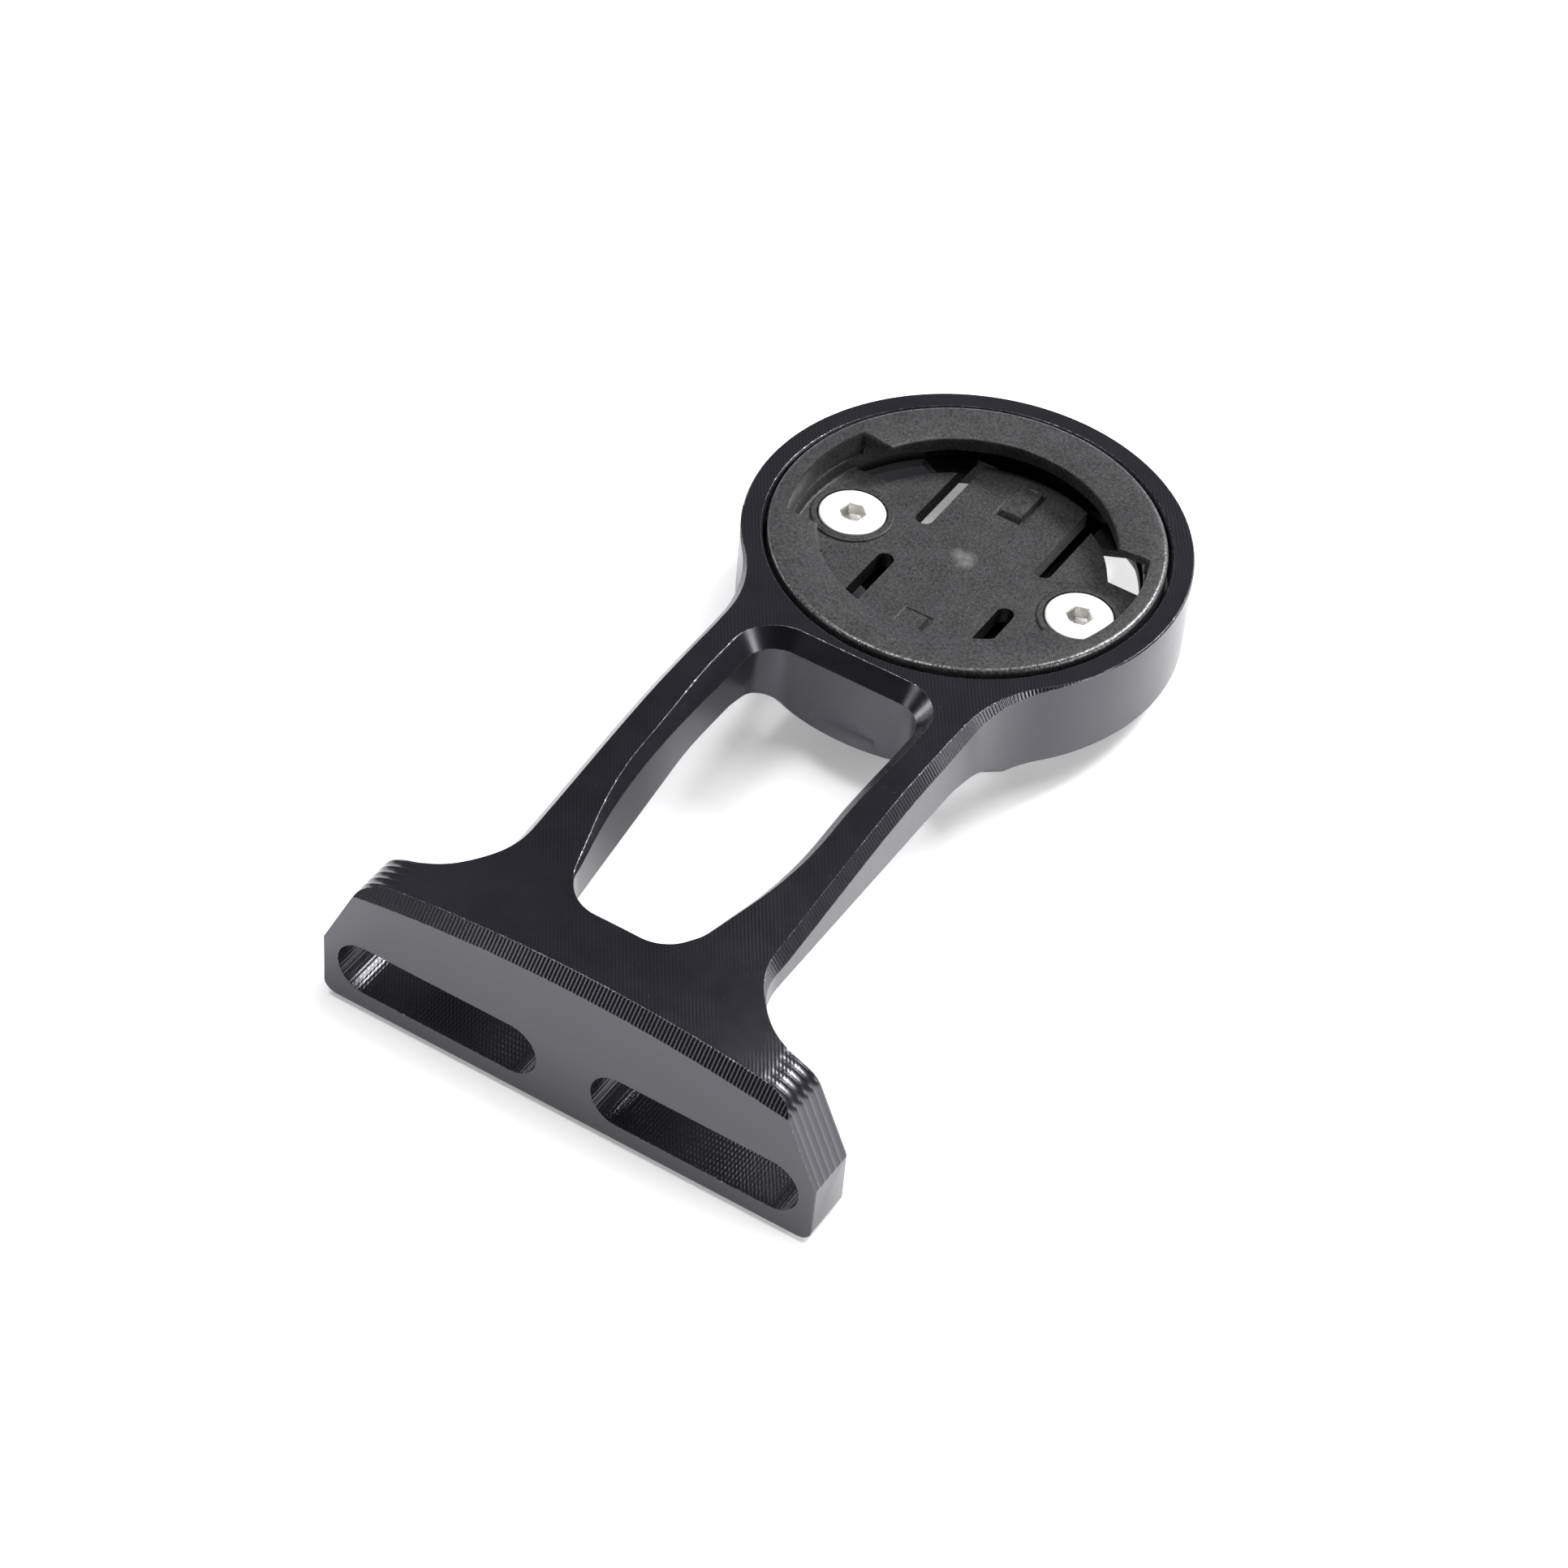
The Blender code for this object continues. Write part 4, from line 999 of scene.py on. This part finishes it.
def floor_cutters(end):
    """The ring sector sunk under the lip down to a ledge, and the two slits through it."""
    outer, inner = POCKET_R + 0.15, FLOOR_R
    outer_angle, inner_angle = math.asin(LUG_HALF / outer), math.asin(LUG_HALF / inner)
    ring = arc(0, 0, outer, outer_angle, math.pi - outer_angle, 90)
    ring += arc(0, 0, inner, math.pi - inner_angle, inner_angle, 70)
    ring = [(x, end * y) for x, y in ring]
    cutters = [head_plate("under_lip", ring, LEDGE_TOP, INSERT_FLOOR + 0.3)]

    outer, inner, low = POCKET_R - 0.15, FLOOR_R + 0.15, LUG_HALF + 0.15
    slit = arc(0, 0, outer, math.asin(low / outer), math.radians(46.4), 24)
    slit += arc(0, 0, inner, math.radians(51.0), math.asin(low / inner), 20)
    for side in (1, -1):
        placed = [(side * x, end * y) for x, y in slit]
        cutters.append(head_plate("through", placed, INSERT_UNDER - 1, LEDGE_TOP + 0.2))
    return cutters


def screw_rim(side):
    """Low raised rim round a screw head."""
    radius = SCREW_HEAD_R + 0.72
    profile = [
        (0, INSERT_FLOOR + 0.22),
        (radius - 0.12, INSERT_FLOOR + 0.22),
        (radius, INSERT_FLOOR + 0.14),
        (radius + 0.14, INSERT_FLOOR - 0.6),
        (0, INSERT_FLOOR - 0.6),
    ]
    return turned("rim", profile, 96, side * SCREW_X, HEAD_TOP)


def relief_cutter(end):
    """The slot round a tongue's root and sides."""
    tip = TONGUE_TIP_R + 0.35
    shape = rounded(
        [
            (RELIEF_OUT, RELIEF_FROM, RELIEF_CORNER_R),
            (RELIEF_OUT, tip, 0),
            (-RELIEF_OUT, tip, 0),
            (-RELIEF_OUT, RELIEF_FROM, RELIEF_CORNER_R),
            (-RELIEF_IN, RELIEF_FROM, RELIEF_CORNER_R),
            (-RELIEF_IN, TONGUE_ROOT, 0),
            (RELIEF_IN, TONGUE_ROOT, 0),
            (RELIEF_IN, RELIEF_FROM, RELIEF_CORNER_R),
        ],
        math.radians(9),
    )
    placed = [(x, end * y) for x, y in shape]
    return head_plate("relief", placed, INSERT_UNDER - 1, INSERT_FLOOR + 0.02)


def screw_sink(side):
    """Countersunk screw hole."""
    profile = [
        (0, 1),
        (SCREW_HEAD_R + SCREW_GAP, 1),
        (SCREW_HEAD_R + SCREW_GAP, SCREW_HEAD_TOP - SCREW_HEAD_EDGE),
        (SCREW_R + SCREW_GAP, SCREW_HEAD_TOP - 1.8),
        (SCREW_R + SCREW_GAP, -8),
        (0, -8),
    ]
    return turned("sink", profile, 96, side * SCREW_X, HEAD_TOP)


def build_insert():
    insert = insert_shell()
    cutters = [tab_opening(side) for side in (1, -1)]
    cutters += [lead_in(side, end) for side in (1, -1) for end in (1, -1)]
    for end in (1, -1):
        cutters += floor_cutters(end)
    combine(insert, *cutters)
    for side in (1, -1):
        combine(insert, screw_rim(side), operation="UNION")
    cutters = [relief_cutter(end) for end in (1, -1)]
    cutters += [screw_sink(side) for side in (1, -1)]
    combine(insert, *cutters)
    finish_piece(insert, PLASTIC, 26, replaces="quarter_turn_insert")


# ==================================================================== tongues
# columns across half a tongue's side, close together at the ridge's wall and groove
RIDGE_COLUMNS = [1.03, 1.07, 1.11, 1.15, 1.19, 1.24, 1.29, 1.32, 1.35, 1.38]
TONGUE_ROWS = 110


def ridge_height(x, y):
    """The click ridge above the tongue's face, with a narrow groove round its foot."""
    groove_deep, wall, end_rounding = 0.12, 0.10, 0.42
    inside_x = RIDGE_HALF - abs(x)
    inside_y = min(y - RIDGE_FROM, RIDGE_TO - y)
    groove = eased(inside_x, -0.21, 0.05) * eased(inside_y, -0.24, 0.05)
    near = min(1.0, max(0.0, inside_y / end_rounding))
    raised = eased(inside_x, -0.02, wall) * (1 - (1 - near) ** 2)
    return RIDGE_HIGH * raised - groove_deep * groove * (1 - raised)


def build_tongue(end, word):
    """A springy tongue: a plate with a fine top surface that carries the click ridge."""
    side_columns = np.concatenate([RIDGE_COLUMNS, np.linspace(1.6, RELIEF_IN, 13)])
    middle = np.linspace(-0.95, 0.95, 15)
    columns = np.concatenate([-side_columns[::-1], middle, side_columns])
    floor, under = HEAD_TOP + INSERT_FLOOR, HEAD_TOP + INSERT_UNDER
    top_grid, under_grid = [], []
    for j in range(TONGUE_ROWS + 1):
        top_row, under_row = [], []
        for x in columns:
            tip = math.sqrt(TONGUE_TIP_R**2 - x * x)
            y = TONGUE_ROOT + (tip - TONGUE_ROOT) * (j / TONGUE_ROWS)
            top_row.append((x, HEAD_Y + end * y, floor + ridge_height(x, y)))
            under_row.append((x, HEAD_Y + end * y, under))
        top_grid.append(top_row)
        under_grid.append(under_row)
    piece = slab(f"click_tongue_{word}", top_grid, under_grid)
    finish_piece(
        piece, PLASTIC, 32, replaces=f"detent_tongue_{word}",
        body=None, weld=1e-4,
    )
    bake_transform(piece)


# ===================================================================== screws
def screw_rows(steps=72):
    """Rows of (radius, height) for each step round the screw, heights from its head's face."""
    edge_r, shank_from = 0.16, 1.95
    head = [(0, 0.0), (SCREW_HEAD_R - edge_r, 0.0)]
    for k in range(1, 6):
        angle = math.pi / 2 * k / 5
        radius = SCREW_HEAD_R - edge_r + edge_r * math.sin(angle)
        head.append((radius, -edge_r + edge_r * math.cos(angle)))
    head += [
        (SCREW_HEAD_R, -SCREW_HEAD_EDGE),
        (SCREW_R + 0.06, -1.74),
        (SCREW_R, -1.84),
        (SCREW_R, -shank_from),
    ]
    rows = [[point] * steps for point in head]
    # thread: one ridge every pitch, run in below the head and tapered at the tip
    pitch, thread_deep, run_in, taper_long, taper = 0.5, 0.29, 0.35, 0.4, 0.7
    z = -shank_from
    while z > -SCREW_LONG + 0.02:
        fade = eased(-z, shank_from, run_in)
        narrowing = max(0.0, (-z - SCREW_LONG + taper_long)) * taper
        row = []
        for k in range(steps):
            turn = ((-z) / pitch + k / steps) % 1.0
            crest = max(0.0, 1 - abs(2 * turn - 1) * 1.12)
            groove = thread_deep * fade * (1 - min(1.0, crest * 1.15))
            row.append((SCREW_R - groove - narrowing, z))
        rows.append(row)
        z -= pitch / 10
    rows.append([(SCREW_R - 0.55, -SCREW_LONG)] * steps)
    rows.append([(0, -SCREW_LONG)] * steps)
    return rows


def build_screw(side, word):
    screw_x, face_z = side * SCREW_X, HEAD_TOP + SCREW_HEAD_TOP
    piece = revolved(f"socket_screw_{word}", screw_rows(), screw_x, face_z)
    # hexagon socket: height from the head's face, growth of the corner radius
    corner_r = SOCKET_ACROSS / math.sqrt(3)
    stations = (
        (0.5, 0.62),
        (0.0, 0.12),
        (-0.12, 0.0),
        (-SOCKET_DEEP, 0.0),
        (-SOCKET_DEEP - 0.32, -corner_r + 0.05),
    )
    rings = []
    for height, grow in stations:
        hexagon = []
        for k in range(6):
            angle = SOCKET_TURN + math.tau * k / 6
            x = screw_x + (corner_r + grow) * math.cos(angle)
            y = HEAD_Y + (corner_r + grow) * math.sin(angle)
            hexagon.append((x, y, face_z + height))
        rings.append(hexagon)
    combine(piece, loft("socket", rings))
    finish_piece(
        piece, STAINLESS, 30, replaces=f"insert_screw_{word}",
        body=f"screw_{word}", weld=1e-4,
    )


build_arm()
build_insert()
build_tongue(1, "far")
build_tongue(-1, "near")
build_screw(-1, "left")
build_screw(1, "right")
bpy.data.collections.remove(bench)


# ===================================================================== studio
def table_material():
    """The table, clear from below. Painted light: it glows a little everywhere, lightening the
    shadows on it, and more in three places, as painted pools of light.
    """
    made, nodes = new_material("pale_table")
    place = nodes.place
    # painted light: the glow grows towards the right
    painted_glow = nodes.smooth_range(place["X"], start=0.004, end=0.075, low=0.30, high=0.80)
    # painted light: and more glow in front of the flange
    ahead = nodes.smooth_range(place["Y"], start=-0.005, end=-0.013, low=0.0, high=0.40)
    # painted light: and a painted pool of light under the head, where the table lies in shade
    painted_pool_centre = (0.0085, 0.0713, 0)
    apart = nodes.add("VectorMath", {0: nodes.coords, 1: painted_pool_centre}, operation="DISTANCE")
    apart = apart.outputs["Value"]
    painted_pool = nodes.smooth_range(apart, start=0.012, end=0.004, low=0.0, high=0.45)
    shader = nodes.principled({
        "Base Color": (0.93, 0.93, 0.94, 1),
        "Roughness": 1.0,
        "Specular IOR Level": 0.0,
        "Emission Color": (1, 1, 1, 1),
        "Emission Strength": nodes.plus(nodes.plus(painted_glow, ahead), painted_pool),
    })
    clear = nodes.add("BsdfTransparent").outputs[0]
    behind = nodes.add("NewGeometry").outputs["Backfacing"]
    nodes.add("OutputMaterial", {0: nodes.mix_shaders(behind, shader, clear)})
    return made


def build_table():
    """The mount rests on its flange's lower back edge and on the head's far lower edge."""
    flange_rest = Vector((0, FLANGE_THICK, FLANGE_BOTTOM)) * MM
    head_rest = Vector((0, HEAD_Y + HEAD_R, HEAD_BASE)) * MM
    mesh = bpy.data.meshes.new("table")
    work = bmesh.new()
    bmesh.ops.create_grid(work, x_segments=1, y_segments=1, size=3.0)
    work.to_mesh(mesh)
    work.free()
    table = bpy.data.objects.new("table", mesh)
    scene.collection.objects.link(table)
    pitch = math.atan2(head_rest.z - flange_rest.z, head_rest.y - flange_rest.y)
    table.rotation_euler = (pitch, 0, 0)
    table.location = flange_rest + Vector((0, 0, -0.00003))
    mesh.materials.append(table_material())


LIGHT_TARGET = Vector((0, 0.04, 0.005))
LIGHT_DISTANCE = 0.9
# name, direction from the target, width, height, watts
SOFTBOXES = (
    ("overhead", (0.20, 0.22, 0.95), 0.6, 0.6, 4.9),
    ("front_left", (-0.60, -0.64, 0.48), 0.2, 0.2, 0.5),
    ("right", (0.90, 0.06, 0.40), 0.22, 0.20, 1.6),
    ("left", (-0.98, -0.06, 0.16), 0.22, 0.14, 0.8),
    ("back_right", (0.25, 0.64, 0.72), 0.28, 0.30, 7.6),
    ("top_front", (-0.26, -0.14, 0.95), 0.26, 0.24, 3.0),
)


def build_lights():
    for name, direction, wide, high, power in SOFTBOXES:
        lamp = bpy.data.lights.new(name, "AREA")
        lamp.shape = "RECTANGLE"
        lamp.size = wide
        lamp.size_y = high
        lamp.energy = power
        obj = bpy.data.objects.new(name, lamp)
        scene.collection.objects.link(obj)
        toward = Vector(direction).normalized()
        obj.location = LIGHT_TARGET + toward * LIGHT_DISTANCE
        obj.rotation_mode = "QUATERNION"
        obj.rotation_quaternion = toward.to_track_quat("Z", "Y")
        # the key lights everything softly; polished faces don't mirror it
        if name == "overhead":
            obj.visible_glossy = False


# height of the direction on the unit sphere, grey level
WORLD_STOPS = (
    (0.0, 0.45), (0.08, 0.16), (0.30, 0.15), (0.60, 0.24),
    (0.70, 0.14), (0.80, 0.09), (0.92, 0.16), (1.0, 0.8),
)
WORLD_TINT = (0.985, 0.98, 1.03)


def build_world():
    world = bpy.data.worlds.new("studio")
    scene.world = world
    world.use_nodes = True
    nodes = Nodes(world.node_tree)
    direction = nodes.split(nodes.add("TexCoord").outputs["Generated"])
    stops = [(z, (*(level * tint for tint in WORLD_TINT), 1)) for z, level in WORLD_STOPS]
    surroundings = nodes.ramp(direction["Z"], *stops)
    # the side behind the camera is a dark room
    front = nodes.smooth_range(direction["Y"], start=-0.75, end=0.15, low=0.12, high=1.0)
    shade = nodes.add("VectorMath", {0: surroundings, "Scale": front}, operation="SCALE")
    lit = nodes.add("Background", {"Color": shade.outputs[0], "Strength": 1.0}).outputs[0]
    # the camera sees the plain pale backdrop
    plain = nodes.add("Background", {"Color": (1, 1, 1, 1), "Strength": 1.0}).outputs[0]
    seen = nodes.add("LightPath").outputs["Is Camera Ray"]
    nodes.add("OutputWorld", {0: nodes.mix_shaders(seen, lit, plain)})


def build_camera():
    lens = bpy.data.cameras.new("camera")
    lens.sensor_width = 36.0
    lens.lens = 101.09173287018595
    lens.clip_start = 0.01
    lens.clip_end = 20.0
    camera = bpy.data.objects.new("camera", lens)
    scene.collection.objects.link(camera)
    camera.matrix_world = Matrix((
        (0.8454404080194969, -0.41005756454966813, 0.342174385720821, 0.12537833814074195),
        (0.5301020047198467, 0.566352151145858, -0.6310603025737388, -0.19887553367400057),
        (0.06497985133736443, 0.7149112075272381, 0.6961893307657911, 0.2619566148487918),
        (0, 0, 0, 1),
    ))
    scene.camera = camera


build_table()
build_lights()
build_world()
scene.view_settings.view_transform = "Standard"
scene.view_settings.look = "None"
scene.view_settings.exposure = 0.0
scene.view_settings.gamma = 1.0
build_camera()
